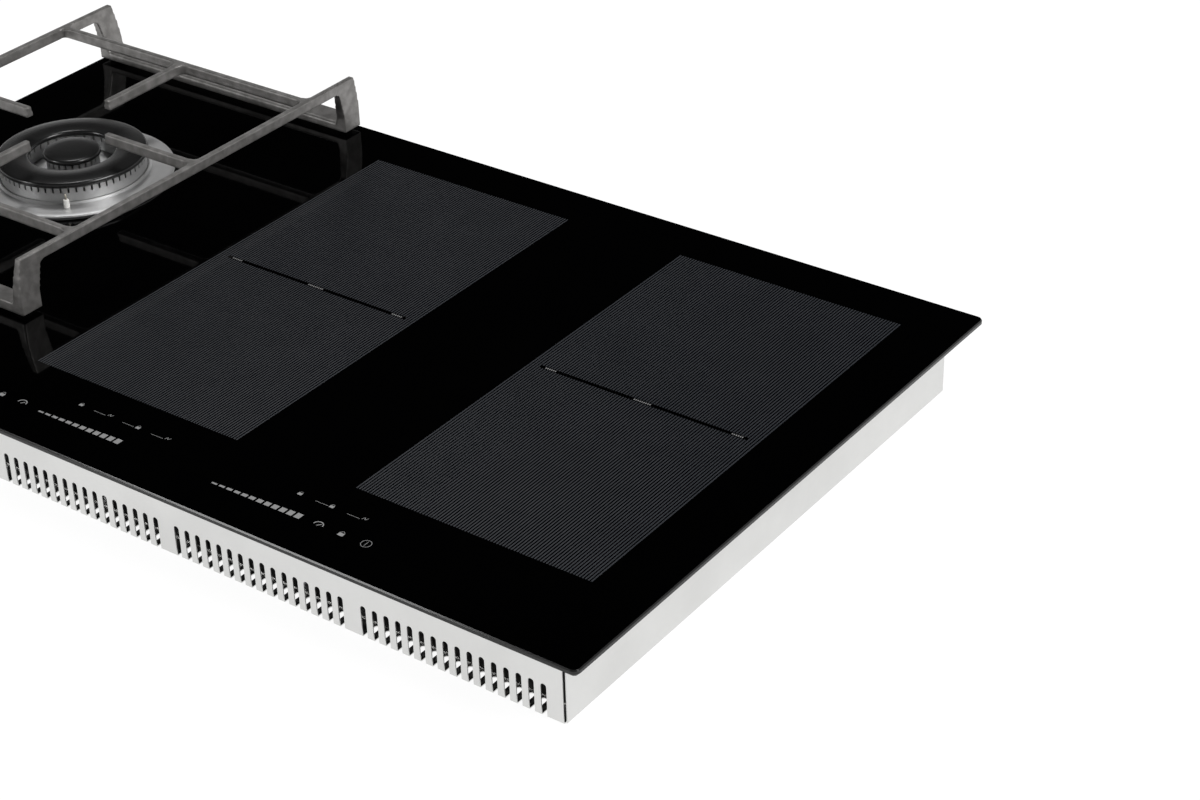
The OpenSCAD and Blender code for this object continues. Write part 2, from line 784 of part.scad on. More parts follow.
module gas_valve() {
  color("#b8b8b4") difference() {
    union() {
      translate([gas_x, knob_y, 0]) {
        block([-valve_w / 2, -valve_d / 2, valve_z], [valve_w / 2, valve_d / 2, valve_top - 8]);
        translate([0, 0, valve_top - 9]) cylinder(r = valve_neck_r + 3, h = 9);
        translate([0, 0, valve_top - 1]) cylinder(r = valve_neck_r, h = neck_top - valve_top + 1);
      }
      translate([gas_x, knob_y + valve_d / 2 - 5, magnet_z]) rotate([-90, 0, 0])
        cylinder(r = magnet_r, h = magnet_l + 5);
    }
    translate([gas_x, knob_y, stem_z - knob_travel - 1])
      cylinder(r = stem_dia / 2 + running_gap, h = 40);
    for (x = outlet_x) translate([gas_x + x, knob_y + valve_d / 2 - 4, outlet_z]) rotate([-90, 0, 0])
      cylinder(r = burner_pipe_r + running_gap, h = 5);
    translate([gas_x - valve_w / 2 - 1, knob_y - supply_offset, inlet_z]) rotate([0, 90, 0])
      cylinder(r = supply_pipe_r + running_gap, h = pipe_seat + 2);
  }
}

module valve_bracket() {
  color(steel) translate([gas_x, knob_y, 0]) {
    block([-valve_w / 2 - 4, -valve_d / 2, floor_z], [valve_w / 2 + 4, valve_d / 2, floor_z + 1.5]);
    for (x = [-1, 1]) block([x * (valve_w / 2 + 2) - 2, -valve_d / 2, floor_z],
      [x * (valve_w / 2 + 2) + 2, -valve_d / 2 + 5, valve_z]);
    block([-valve_w / 2 - 4, -valve_d / 2, valve_z - 1.5], [valve_w / 2 + 4, valve_d / 2 - 8, valve_z]);
  }
}

// Round shaft with a flat, as the knob grips it
module shaft_2d(r) {
  difference() {
    circle(r);
    translate([-r - 1, shaft_flat + r - shaft_r]) square([2 * r + 2, r]);
  }
}

module valve_stem() {
  color(brass) translate([gas_x, knob_y, 0]) {
    translate([0, 0, stem_z]) cylinder(r = stem_dia / 2, h = collar_z - stem_z + 0.5);
    translate([0, 0, collar_z]) cylinder(r = collar_r, h = collar_t);
    translate([0, 0, collar_z + collar_t - 0.5])
      linear_extrude(knob_bore_top - 1 - collar_z - collar_t) shaft_2d(shaft_r);
  }
}

module ignition_ring() {
  color(plastic) translate([gas_x, knob_y, ring_z]) difference() {
    union() {
      cylinder(r = ring_r, h = ring_t);
      block([0, -4, 0], [28, 4, ring_t]);
    }
    translate([0, 0, -1]) cylinder(r = stem_dia / 2 + running_gap, h = ring_t + 2);
  }
}

module ignition_switch() {
  plunger_top = ring_z - knob_travel - 0.3;
  color("#262a2e") translate([gas_x + valve_w / 2 + 4, knob_y, 0]) {
    block([0, -10, floor_z], [14, 10, neck_top - 4]);
    translate([7, 0, neck_top - 5]) cylinder(r = 2, h = plunger_top - neck_top + 5);
  }
}

module control_knob() {
  skirt_h = 5;
  grip_r = knob_dia / 2 - 2;
  color("#c9cbcd") translate([gas_x, knob_y, knob_z]) difference() {
    union() {
      cylinder(d = knob_dia, h = skirt_h);
      translate([0, 0, skirt_h - 0.5]) cylinder(r1 = grip_r, r2 = grip_r - 2, h = knob_h - skirt_h + 0.5);
    }
    translate([0, 0, -1]) linear_extrude(knob_bore_top - knob_z + 1) shaft_2d(shaft_r + running_gap);
    translate([0, 0, -1]) tube(grip_r - 3, shaft_r + 4, 9);
  }
}

module knob_bezel() {
  color("#b9bbbd") translate([gas_x, knob_y, bezel_z])
    tube(bezel_dia / 2, stem_hole_r + 1, bezel_t);
}

module knob_seal() {
  color("#202020") translate([gas_x, knob_y, top_z])
    tube(bezel_dia / 2 - 1, stem_hole_r + 1, knob_seal_t);
}

module gas_inlet() {
  color(brass) translate([inlet_x, 0, inlet_z]) rotate([-90, 0, 0]) difference() {
    union() {
      translate([0, 0, inlet_back - 14]) cylinder(r = inlet_nut_r, h = 14, $fn = 6);
      translate([0, 0, inlet_back - 1])
        cylinder(r = inlet_r - inlet_relief, h = inlet_end - inlet_back);
      translate([0, 0, inlet_end - inlet_thread_l]) cylinder(r = inlet_r, h = inlet_thread_l);
    }
    translate([0, 0, inlet_back - 6]) cylinder(r = inlet_bore_r, h = 60);
    translate([0, 0, inlet_back - 15]) cylinder(r = supply_pipe_r + running_gap, h = 10);
  }
}

module supply_pipe() {
  y = knob_y - supply_offset;
  color(alloy) pipe([[inlet_x, inlet_back - 7, inlet_z], [inlet_x, y, inlet_z],
    [gas_x - valve_w / 2 + pipe_seat, y, inlet_z]], supply_pipe_r);
}

// Route of the pipe to one throat of the burner
function burner_pipe_route(i) = let (x = gas_x + throat[i][0], y = burner_y + throat[i][1])
  [[gas_x + outlet_x[i], knob_y + valve_d / 2 - pipe_seat, outlet_z],
   [gas_x + outlet_x[i], knob_y + valve_d / 2 + burner_pipe_start, outlet_z],
   [x, knob_y + valve_d / 2 + burner_pipe_start + burner_pipe_drop, pipe_z],
   [x, y - holder_side / 2 + pipe_seat + 1, pipe_z]];

module burner_pipes() {
  color(alloy) for (i = [0, 1]) pipe(burner_pipe_route(i), burner_pipe_r);
}

// Hexagon nut around a pipe, along +Y
module pipe_nut(r, h, bore_r) {
  rotate([-90, 0, 0]) difference() {
    cylinder(r = r, h = h, $fn = 6);
    translate([0, 0, -1]) cylinder(r = bore_r + running_gap, h = h + 2);
  }
}

module pipe_nuts() {
  gap = 0.05;
  color(brass) {
    for (x = outlet_x) translate([gas_x + x, knob_y + valve_d / 2 + gap, outlet_z])
      pipe_nut(nut_r, nut_h, burner_pipe_r);
    for (p = throat)
      translate([gas_x + p[0], burner_y + p[1] - holder_side / 2 - nut_h - gap, pipe_z])
        pipe_nut(nut_r - 0.8, nut_h, burner_pipe_r);
    translate([inlet_x, casing_d / 2 + gap, inlet_z])
      pipe_nut(inlet_nut_r, inlet_nut_t, inlet_r);
    translate([gas_x - valve_w / 2 - gap, knob_y - supply_offset, inlet_z]) rotate([0, 0, 90])
      pipe_nut(nut_r + 2.5, nut_h, supply_pipe_r);
  }
}

module ignition_module() {
  reach = ignition_ear[0];
  color("#e4e2d8") translate([ignition_x, ignition_y, floor_z]) {
    cube(ignition_box);
    for (y = [-reach, ignition_box[1] - reach])
      block([reach, y, 0], [ignition_box[0] - reach, y + 2 * reach, ignition_ear[1]]);
  }
}

module ignition_lead() {
  lead_r = 1.5;
  lead_end = 20;
  z = ignition_lead_z;
  y = ignition_y + ignition_box[1] / 2;
  start = electrode_xy;
  color("firebrick") pipe([[start[0], start[1], venturi_z], [start[0], start[1], z],
    [ignition_x - lead_end, y, z], [ignition_x, y, z]], lead_r);
}

// Flat coil, grooved like its windings
module coil(x, y) {
  turns = 20;
  step = (coil_r - coil_bore_r) / turns;
  groove = 0.35;
  bumps = [for (i = [0:turns - 1], k = [0, 1])
    [coil_bore_r + step * (i + k) + (k == 0 ? groove / 2 : -groove / 2), coil_t]];
  valleys = [for (i = [0:turns - 1], k = [0, 1]) [coil_bore_r + step * (i + k), coil_t - 1.2]];
  comb = [for (i = [0:turns - 1]) each [valleys[2 * i], bumps[2 * i], bumps[2 * i + 1]]];
  color("#b87333") translate([x, y, coil_z]) rotate_extrude($fn = 72)
    polygon(concat([[coil_bore_r, 0]], comb, [[coil_r, coil_t - 1.2], [coil_r, 0]]));
}

module coil_left_front() {
  coil(zone_xs[0], zone_y - coil_dy);
}

module coil_left_rear() {
  coil(zone_xs[0], zone_y + coil_dy);
}

module coil_right_front() {
  coil(zone_xs[1], zone_y - coil_dy);
}

module coil_right_rear() {
  coil(zone_xs[1], zone_y + coil_dy);
}

// Places of the four coils
module at_coils() {
  for (x = zone_xs, s = [-1, 1]) translate([x, zone_y + s * coil_dy, 0]) children();
}

module coil_carriers() {
  color("#d8d4c4") at_coils() translate([0, 0, carrier_z]) {
    tube(carrier_r, sensor_cup_r + 1, carrier_t);
    translate([0, 0, 0]) tube(carrier_r, coil_r + 0.8, carrier_t + coil_t * 0.6);
  }
}

module ferrite_bars() {
  color("#3b3b3f") at_coils() for (i = [0:ferrites_per_coil - 1])
    rotate([0, 0, (i + 0.5) * 360 / ferrites_per_coil])
      translate([coil_r - ferrite[0] - 4, -ferrite[1] / 2, ferrite_z]) cube(ferrite);
}

module coil_sensors() {
  color("#efe9d8") at_coils() translate([0, 0, coil_plate_z + coil_plate_t]) {
    cylinder(r = sensor_cup_r, h = mica_z - coil_plate_z - coil_plate_t);
  }
}

module coil_plates() {
  color(alloy) for (x = zone_xs) translate([x, zone_y, coil_plate_z]) linear_extrude(coil_plate_t)
    rounded_rect(coil_plate_w, coil_plate_d, 6);
}

module coil_plate_posts() {
  color("#9a9c9e") for (x = zone_xs, i = [-1, 1], j = [-1, 1])
    translate([x + i * (coil_plate_w / 2 - post_inset), zone_y + j * (coil_plate_d / 2 - post_inset),
      floor_z]) {
      cylinder(r = post_r + 3, h = 2);
      cylinder(r = post_r, h = coil_plate_z - floor_z);
    }
}

module mica_sheets() {
  color("#c8b48a") for (x = zone_xs) translate([x, zone_y, mica_z]) linear_extrude(mica_t)
    rounded_rect(zone_w, zone_d, 8);
}

module power_boards() {
  color("#1f5c3a") for (x = zone_xs) translate([x - board[0] / 2, board_y - board[1] / 2, board_z])
    cube(board);
}

module heat_sinks() {
  fin_t = 1.8;
  fin_pitch = (sink[0] - fin_t) / (sink_fins - 1);
  color("#bfc1c4") for (x = zone_xs)
    translate([x + sink_x - sink[0] / 2, board_y - sink[1] / 2, board_z + board[2]]) {
      cube([sink[0], sink[1], sink_base]);
      for (i = [0:sink_fins - 1]) translate([i * fin_pitch, 0, 0]) cube([fin_t, sink[1], sink[2]]);
    }
}

// Parts on one power board, in rows beside the heat sink
module board_parts() {
  row_pitch = 38;
  part_w = 32;
  column_pitch = 42;
  first_column = sink_x + sink[0] / 2 + 30;
  switch_x = sink_x + sink[0] / 2 + 3;
  rows = floor((board[1] - 20) / row_pitch);
  columns = floor((board[0] / 2 - first_column) / column_pitch);
  for (j = [0:rows - 1]) translate([0, (j - (rows - 1) / 2) * row_pitch, 0]) {
    block([switch_x, -8, 0], [switch_x + 6, 8, 21]);
    for (i = [0:columns - 1]) translate([first_column + i * column_pitch + part_w / 2, 0, 0])
      if (i == 1 && j % 3 == 0) tube(part_w / 2, 8, 14);
      else block([-part_w / 2, -11, 0], [part_w / 2, 11, i == 0 ? 24 : 16]);
  }
}

module board_components() {
  color("#51555a") for (x = zone_xs) translate([x, board_y, board_z + board[2]]) board_parts();
}

module board_standoffs() {
  color("#e8e8e8") for (x = zone_xs, i = [-1, 1], j = [-1, 1])
    translate([x + i * (board[0] / 2 - 6), board_y + j * (board[1] / 2 - 6), floor_z])
      cylinder(r = standoff_r, h = board_z - floor_z);
}

// Blower housing: a box with a round chamber, an inlet below and an outlet to the front
module blower_housing(x) {
  half = blower_side / 2;
  chamber_r = wheel_r + 4;
  lid = blower_wall;
  color(plastic) translate([x, blower_y, floor_z]) difference() {
    block([-half, -half, 0], [half, half, blower_h]);
    translate([0, 0, lid]) cylinder(r = chamber_r, h = blower_h - 2 * lid);
    block([-chamber_r, -half - 1, lid], [-chamber_r + 40, 0, blower_h - lid]);
    translate([0, 0, -1]) cylinder(r = wheel_r - 8, h = lid + 2);
    translate([0, 0, blower_h - lid - 1]) cylinder(r = shaft_pin_r + running_gap, h = lid + 2);
  }
}

// Blower wheel: a motor cup, a disc and a ring of blades, on a pin in the lid
module blower_wheel(x) {
  disc_t = 1.5;
  blade_r = wheel_r - 6;
  color("#2b2e31") translate([x, blower_y, wheel_z]) {
    cylinder(r = 13, h = wheel_h);
    translate([0, 0, wheel_h - disc_t]) cylinder(r = wheel_r, h = disc_t);
    tube(wheel_r, blade_r, 1.2);
    for (i = [0:wheel_blades - 1]) rotate([0, 0, i * 360 / wheel_blades])
      translate([blade_r + 0.3, 0, 0]) rotate([0, 0, 35]) block([0, -0.5, 0], [5.6, 0.5, wheel_h - 0.5]);
    translate([0, 0, wheel_h - 0.5])
      cylinder(r = shaft_pin_r, h = floor_z + blower_h - 0.3 - wheel_z - wheel_h + 0.5, $fn = 24);
  }
}

module fan_housing_left() {
  blower_housing(zone_xs[0]);
}

module fan_housing_right() {
  blower_housing(zone_xs[1]);
}

module fan_rotor_left() {
  blower_wheel(zone_xs[0]);
}

module fan_rotor_right() {
  blower_wheel(zone_xs[1]);
}

module touch_board() {
  color("#1f5c3a") translate([touch_x, touch_y, touch_z]) linear_extrude(touch_board_t)
    rounded_rect(touch_board_w, touch_board_d, 3);
}

module touch_pads() {
  pad_z = touch_z + touch_board_t;
  color("#55585c") for (i = [0:touch_pad_count - 1])
    translate([touch_x + (i - (touch_pad_count - 1) / 2) * pad_pitch, touch_y - 11, pad_z])
      cylinder(r = pad_r, h = glass_z - pad_z);
}

module touch_board_carrier() {
  z = touch_z - carrier_tray_t;
  color(plastic) translate([touch_x, touch_y, 0]) {
    translate([0, 0, z]) linear_extrude(carrier_tray_t)
      rounded_rect(touch_board_w + 6, touch_board_d + 4, 4);
    for (x = [-1, 0, 1]) translate([x * (touch_board_w / 2 - 20), 0, floor_z]) {
      cylinder(r = 9, h = 2.5);
      cylinder(r = 5, h = z - floor_z + 0.5);
    }
  }
}

module terminal_block() {
  screw_pitch_x = terminal[0] / 5;
  color("#d9d5c8") translate([entry_x - terminal[0] / 2, terminal_y - terminal[1] / 2, floor_z])
    difference() {
      cube(terminal);
      for (i = [0:4]) translate([(i + 0.5) * screw_pitch_x, 9, terminal[2] - 7]) cylinder(r = 3, h = 8);
      for (i = [0:4]) translate([(i + 0.5) * screw_pitch_x, terminal[1] - 8, terminal[2] / 2])
        rotate([-90, 0, 0]) cylinder(r = 2.6, h = 9);
    }
}

module terminal_cover() {
  gap = 0.4;
  wall = 1.8;
  low = [-terminal[0] / 2 - gap - wall, -terminal[1] / 2 - gap - wall, 0];
  high = [terminal[0] / 2 + gap + wall, casing_d / 2 - sheet_t - 0.2 - terminal_y, terminal[2] + 18];
  color("#2f3236") translate([entry_x, terminal_y, floor_z]) difference() {
    block(low, high);
    block(low + [wall, wall, -1], high - [wall, -1, wall]);
  }
}

module cable_gland() {
  wall_y = casing_d / 2;
  color("#1b1b1b") translate([entry_x, wall_y, entry_z]) rotate([-90, 0, 0]) difference() {
    union() {
      translate([0, 0, -gland_in]) cylinder(r = gland_r, h = gland_in + 1);
      translate([0, 0, 0.05]) cylinder(r = gland_flange_r, h = gland_out);
      translate([0, 0, -sheet_t - 3.05]) cylinder(r = gland_flange_r - 1, h = 3);
    }
    translate([0, 0, -gland_in - 1]) cylinder(r = gland_bore_r, h = 40);
  }
}

glass_top();
glass_seal();
glass_bond();
front_panel();
back_panel();
left_side_panel();
right_side_panel();
bottom_plate();
divider_wall();
screws();
pan_support();
pan_support_feet();
burner_base();
burner_gasket();
burner_bracket();
flame_spreader();
outer_cap();
inner_cap();
spark_electrode();
flame_sensor();
injectors();
injector_holders();
gas_valve();
valve_bracket();
valve_stem();
ignition_ring();
ignition_switch();
control_knob();
knob_bezel();
knob_seal();
gas_inlet();
supply_pipe();
burner_pipes();
pipe_nuts();
ignition_module();
ignition_lead();
coil_left_front();
coil_left_rear();
coil_right_front();
coil_right_rear();
coil_carriers();
ferrite_bars();
coil_sensors();
coil_plates();
coil_plate_posts();
mica_sheets();
power_boards();
heat_sinks();
board_components();
board_standoffs();
fan_housing_left();
fan_housing_right();
fan_rotor_left();
fan_rotor_right();
touch_board();
touch_pads();
touch_board_carrier();
terminal_block();
terminal_cover();
cable_gland();
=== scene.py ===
# %% [markdown]
# # A built-in hybrid hob
# The object is a drop-in hob: a black ceramic glass with two printed induction zones, a bare
# sheet-steel casing under it, and a gas burner with a cast-iron pan support on the left third.
# The pieces come from the CAD model as a fixed frame. Some keep their CAD shape and only get a
# finish. Others are modelled again here, with the soft edges and small details that CAD leaves out.

# %% Load the frame
import math

import bmesh
import bpy
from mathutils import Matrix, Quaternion, Vector


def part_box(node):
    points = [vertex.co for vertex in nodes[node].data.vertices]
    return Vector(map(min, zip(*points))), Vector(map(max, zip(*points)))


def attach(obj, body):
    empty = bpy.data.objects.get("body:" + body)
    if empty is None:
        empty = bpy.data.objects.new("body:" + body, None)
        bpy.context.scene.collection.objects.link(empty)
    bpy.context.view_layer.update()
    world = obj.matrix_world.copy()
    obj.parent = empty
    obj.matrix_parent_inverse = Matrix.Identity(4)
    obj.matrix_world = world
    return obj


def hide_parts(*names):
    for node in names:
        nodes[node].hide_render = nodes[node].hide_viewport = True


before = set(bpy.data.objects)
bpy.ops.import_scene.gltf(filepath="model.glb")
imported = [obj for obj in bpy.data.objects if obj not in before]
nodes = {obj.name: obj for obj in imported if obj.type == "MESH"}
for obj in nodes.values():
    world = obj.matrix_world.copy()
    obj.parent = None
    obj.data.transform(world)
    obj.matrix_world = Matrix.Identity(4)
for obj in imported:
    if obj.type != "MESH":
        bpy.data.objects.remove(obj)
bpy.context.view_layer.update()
MM = 0.001


# %% [markdown]
# ## Camera
# The picture was taken with a long lens from the front right, looking down on the glass. A camera
# can be placed by hand in the view, by a target and a constraint, or by numbers. Numbers are used
# here, since the straight edges of the glass fix them: where the camera stands, how far it is
# turned and tipped, and a small roll.

# %% Camera
CAMERA_PLACE = Vector((1.2246, -1.2788, 1.0474))
CAMERA_HEADING = math.radians(36.38)
CAMERA_TIP = math.radians(31.67)
CAMERA_ROLL = math.radians(-1.57)
CAMERA_LENS = 78.75

look = Vector((-math.sin(CAMERA_HEADING) * math.cos(CAMERA_TIP),
               math.cos(CAMERA_HEADING) * math.cos(CAMERA_TIP), -math.sin(CAMERA_TIP)))
camera_data = bpy.data.cameras.new("camera")
camera_data.lens = CAMERA_LENS
camera = bpy.data.objects.new("camera", camera_data)
bpy.context.scene.collection.objects.link(camera)
bpy.context.scene.camera = camera
camera.rotation_mode = "QUATERNION"
camera.location = CAMERA_PLACE
camera.rotation_quaternion = look.to_track_quat("-Z", "Y") @ Quaternion((0, 0, 1), CAMERA_ROLL)
print("camera looks along", [round(v, 3) for v in look])


# %% [markdown]
# ## Shader maths in plain arithmetic
# A material is a graph of nodes, and most of its nodes only add, multiply or compare numbers. The
# small class below wraps a node's output, so that such a graph is written as an expression. Each
# operator adds one Math node. Every other node comes from one method, which takes the node's
# kind, the values of its sockets and its settings.

# %% Node helper
class Wire:
    """A node's output that can be used in arithmetic."""

    def __init__(self, recipe, socket):
        self.recipe = recipe
        self.socket = socket

    def math(self, operation, *values):
        """One Math node with this output first."""
        inputs = dict(enumerate((self,) + values))
        return self.recipe.node("Math", inputs, operation=operation)

    def __add__(self, other):
        return self.math("ADD", other)

    __radd__ = __add__

    def __mul__(self, other):
        return self.math("MULTIPLY", other)

    __rmul__ = __mul__

    def __sub__(self, other):
        return self.math("SUBTRACT", other)

    def __rsub__(self, other):
        return self.recipe.node("Math", {0: other, 1: self}, operation="SUBTRACT")

    def between(self, low, high):
        """0 up to low, 1 from high, and a smooth rise between."""
        inputs = {"Value": self, "From Min": low, "From Max": high}
        return self.recipe.node("MapRange", inputs, interpolation_type="SMOOTHSTEP")


def colour(tone):
    """A shader colour, from one grey level or from red, green and blue."""
    return (*tone, 1.0) if isinstance(tone, tuple) else (tone, tone, tone, 1.0)


class Recipe:
    """A material or world under construction."""

    def __init__(self, tree):
        self.tree = tree
        tree.nodes.clear()

    def node(self, kind, inputs=None, output=0, **settings):
        """Adds one node: its settings first, then the values or links of its sockets."""
        made = self.tree.nodes.new("ShaderNode" + kind)
        for key, value in settings.items():
            setattr(made, key, value)
        for key, value in (inputs or {}).items():
            if isinstance(value, Wire):
                self.tree.links.new(value.socket, made.inputs[key])
            else:
                made.inputs[key].default_value = value
        return Wire(self, made.outputs[output] if len(made.outputs) else None)

    def place(self, stretch=(1, 1, 1), turn=(0, 0, 0)):
        """Object coordinates, stretched and turned."""
        point = self.node("TexCoord", output="Object")
        return self.node("Mapping", {"Vector": point, "Scale": stretch, "Rotation": turn})

    def noise(self, scale, detail=3.0, where=None):
        """Soft noise from about 0 to 1, with scale waves to the metre."""
        inputs = {"Vector": where or self.place(), "Scale": scale, "Detail": detail}
        return self.node("TexNoise", inputs)

    def cells(self, scale, where=None):
        """Distance to the nearest of many scattered points."""
        inputs = {"Vector": where or self.place(), "Scale": scale}
        return self.node("TexVoronoi", inputs, "Distance")

    def mix(self, share, first, second):
        """A colour between two colours."""
        inputs = {0: share, 6: colour(first), 7: colour(second)}
        return self.node("Mix", inputs, 2, data_type="RGBA")

    def bump(self, height, depth):
        """A normal from a height, where 1 stands depth metres proud."""
        return self.node("Bump", {"Height": height, "Distance": depth, "Strength": 1.0})

    def ray(self, kind):
        """1 for rays of a kind, such as Camera or Glossy, and 0 for the others."""
        return self.node("LightPath", output=f"Is {kind} Ray")

    def close(self, shader, kind="OutputMaterial"):
        """Links the finished shader to the output."""
        self.node(kind, {"Surface": shader})


print("node helper ready")


# %% [markdown]
# ## Studio
# Product pictures of a black glass are taken in a white room with a dark ceiling: the floor and
# the walls give the white background and the light on the casing, and the glass mirrors only the
# ceiling, so it stays black. A real room could be built for this. A world shader does the same
# with less: it is white to the camera, and to reflections it is white at the horizon and dark
# overhead. Three softboxes do the rest. The one at the front left is mirrored by the glass's
# arris as a light line, and the ones at the back right and overhead model the cast iron.

# %% World
def make_world():
    """White to the camera, soft light to the object, white walls and a dark ceiling to gloss."""
    light_level, ceiling_level = 0.20, 0.004
    wall_white, wall_dark = 0.08, 0.41
    world = bpy.data.worlds.new("studio")
    world.use_nodes = True
    bpy.context.scene.world = world
    recipe = Recipe(world.node_tree)
    seen = recipe.ray("Camera") + recipe.ray("Transmission")
    gloss = recipe.ray("Glossy")
    direction = recipe.node("TexCoord", output="Generated")
    height = recipe.node("SeparateXYZ", {0: direction}, "Z")
    wall = 1 - height.between(wall_white, wall_dark)
    mirrored = ceiling_level + wall * (1 - ceiling_level)
    level = seen.math("MINIMUM", 1.0)
    level = level + (1 - level) * (gloss * mirrored + (1 - gloss) * light_level)
    shader = recipe.node("Background", {"Color": colour(1.0), "Strength": level})
    recipe.close(shader, "OutputWorld")


make_world()
bpy.context.scene.view_settings.view_transform = "Standard"


# %% Softboxes
def softbox(name, place, power, side):
    """A square area lamp that points at the hob."""
    data = bpy.data.lights.new(name, "AREA")
    data.energy = power
    data.size = side
    lamp = bpy.data.objects.new(name, data)
    bpy.context.scene.collection.objects.link(lamp)
    lamp.location = place
    lamp.rotation_mode = "QUATERNION"
    lamp.rotation_quaternion = (-Vector(place)).to_track_quat("-Z", "Y")
    lamp.visible_camera = False
    print(name, power, "W")


softbox("front_softbox", (-1.80, -2.74, 1.45), 29, 0.8)
softbox("back_softbox", (2.3, 0.3, 2.1), 80, 1.5)
softbox("top_softbox", (-1.2, 0.9, 2.6), 17, 0.6)


# %% Floor
def make_floor():
    """A pale floor that shows white and keeps the hob's soft shadow."""
    size, sunk = 30, 0.2 * MM
    glow, matt_tone, shade_tone = 0.95, 0.8, 0.10
    bpy.ops.mesh.primitive_plane_add(size=size, location=(0, 0, -sunk))
    floor = bpy.context.active_object
    floor.name = "floor"
    material = bpy.data.materials.new("pale_floor")
    material.use_nodes = True
    recipe = Recipe(material.node_tree)
    seen = recipe.ray("Camera") + recipe.ray("Glossy") + recipe.ray("Transmission")
    matt = recipe.node("BsdfDiffuse", {"Color": colour(matt_tone)})
    shade = recipe.node("BsdfDiffuse", {"Color": colour(shade_tone)})
    light = recipe.node("Emission", {"Color": colour(1.0), "Strength": glow})
    white = recipe.node("AddShader", {0: shade, 1: light})
    recipe.close(recipe.node("MixShader", {0: seen, 1: matt, 2: white}))
    floor.data.materials.append(material)


make_floor()
print("floor and lamps ready")


# %% [markdown]
# ## Modelling helpers
# Everything new is modelled as by hand: a primitive goes in at its size and place, edit mode
# shapes it, and modifiers finish it. An operator works on all that is selected, and the CAD pieces
# come in selected, so each helper first selects exactly what it is to change.

# %% Selecting and editing
def clear():
    """Selects nothing."""
    bpy.ops.object.select_all(action="DESELECT")


def only(piece):
    """Selects one object and nothing else."""
    if bpy.context.mode != "OBJECT":
        bpy.ops.object.mode_set(mode="OBJECT")
    clear()
    piece.select_set(True)
    bpy.context.view_layer.objects.active = piece


def edit(piece, kind="VERT"):
    """Opens one object in edit mode with nothing selected."""
    only(piece)
    bpy.ops.object.mode_set(mode="EDIT")
    bpy.ops.mesh.select_mode(type=kind)
    bpy.ops.mesh.select_all(action="DESELECT")


def pick(piece, kind, test):
    """In edit mode, selects the faces or edges that pass a test of their middle and direction."""
    bpy.ops.mesh.select_mode(type=kind)
    bpy.ops.mesh.select_all(action="DESELECT")
    mesh = bmesh.from_edit_mesh(piece.data)
    if kind == "FACE":
        for face in mesh.faces:
            face.select_set(test(face.calc_center_median(), face.normal))
    else:
        for edge in mesh.edges:
            first, second = (v.co for v in edge.verts)
            edge.select_set(test((first + second) / 2, (second - first).normalized()))
    mesh.select_flush_mode()
    bmesh.update_edit_mesh(piece.data)


def pick_all():
    """In edit mode, selects the whole shape."""
    bpy.ops.mesh.select_all(action="SELECT")


def pull(vector):
    """In edit mode, extrudes what is selected along a vector."""
    bpy.ops.mesh.extrude_region_move(TRANSFORM_OT_translate={"value": vector})


def bevel(offset, segments):
    """In edit mode, bevels the selected edges."""
    bpy.ops.mesh.bevel(offset=offset, segments=segments, affect="EDGES")


def done():
    """Leaves edit mode."""
    bpy.ops.object.mode_set(mode="OBJECT")


def close_up():
    """Turns all faces of the shape in edit mode outward, and leaves edit mode."""
    pick_all()
    bpy.ops.mesh.normals_make_consistent(inside=False)
    done()


def modify(piece, kind, **settings):
    """Adds a modifier, sets it and applies it."""
    only(piece)
    made = piece.modifiers.new(kind.lower(), kind)
    for key, value in settings.items():
        setattr(made, key, value)
    bpy.ops.object.modifier_apply(modifier=made.name)
    return piece


def settle(piece):
    """Puts an object's place, turn and size into its mesh."""
    only(piece)
    bpy.ops.object.transform_apply(location=True, rotation=True, scale=True)
    return piece


def join(pieces):
    """Joins several objects into the first."""
    only(pieces[0])
    for piece in pieces[1:]:
        piece.select_set(True)
    bpy.ops.object.join()
    return pieces[0]


print("editing helpers ready")


# %% Starting shapes
def block(low, high):
    """A block between two corners, in metres."""
    low, high = Vector(low), Vector(high)
    clear()
    bpy.ops.mesh.primitive_cube_add(size=1, location=(low + high) / 2, scale=high - low)
    return settle(bpy.context.active_object)


def rod(centre, radius, low, high, sides=64):
    """A round rod along Z."""
    clear()
    bpy.ops.mesh.primitive_cylinder_add(vertices=sides, radius=radius, depth=high - low,
                                        location=(centre[0], centre[1], (low + high) / 2))
    return settle(bpy.context.active_object)


def outline(points):
    """A chain of edges through points, drawn by extruding one vertex."""
    clear()
    bpy.ops.mesh.primitive_plane_add(size=MM)
    piece = bpy.context.active_object
    bpy.ops.object.mode_set(mode="EDIT")
    bpy.ops.mesh.select_mode(type="VERT")
    pick_all()
    bpy.ops.mesh.merge(type="CENTER")
    bpy.ops.transform.translate(value=points[0])
    for first, second in zip(points, points[1:]):
        step = Vector(second) - Vector(first)
        pull(step)
    pick_all()
    return piece


def plate(points, thickness):
    """A flat shape with a straight outline, pulled out along a vector."""
    piece = outline(list(points) + [points[0]])
    bpy.ops.mesh.remove_doubles(threshold=1e-6)
    bpy.ops.mesh.edge_face_add()
    pull(thickness)
    close_up()
    return piece


def lathe(profile, centre=(0, 0), steps=96):
    """Turns a profile of (radius, height) points in millimetres about a vertical axis."""
    piece = outline([(r * MM, 0, z * MM) for r, z in profile])
    bpy.ops.mesh.spin(steps=steps, angle=2 * math.pi, center=(0, 0, 0), axis=(0, 0, 1))
    pick_all()
    bpy.ops.mesh.remove_doubles(threshold=1e-6)
    close_up()
    piece.location = (*centre, 0)
    return settle(piece)


def spot(middle, radius, degrees):
    """The point on a circle at an angle."""
    turn = math.radians(degrees)
    return middle[0] + radius * math.cos(turn), middle[1] + radius * math.sin(turn)


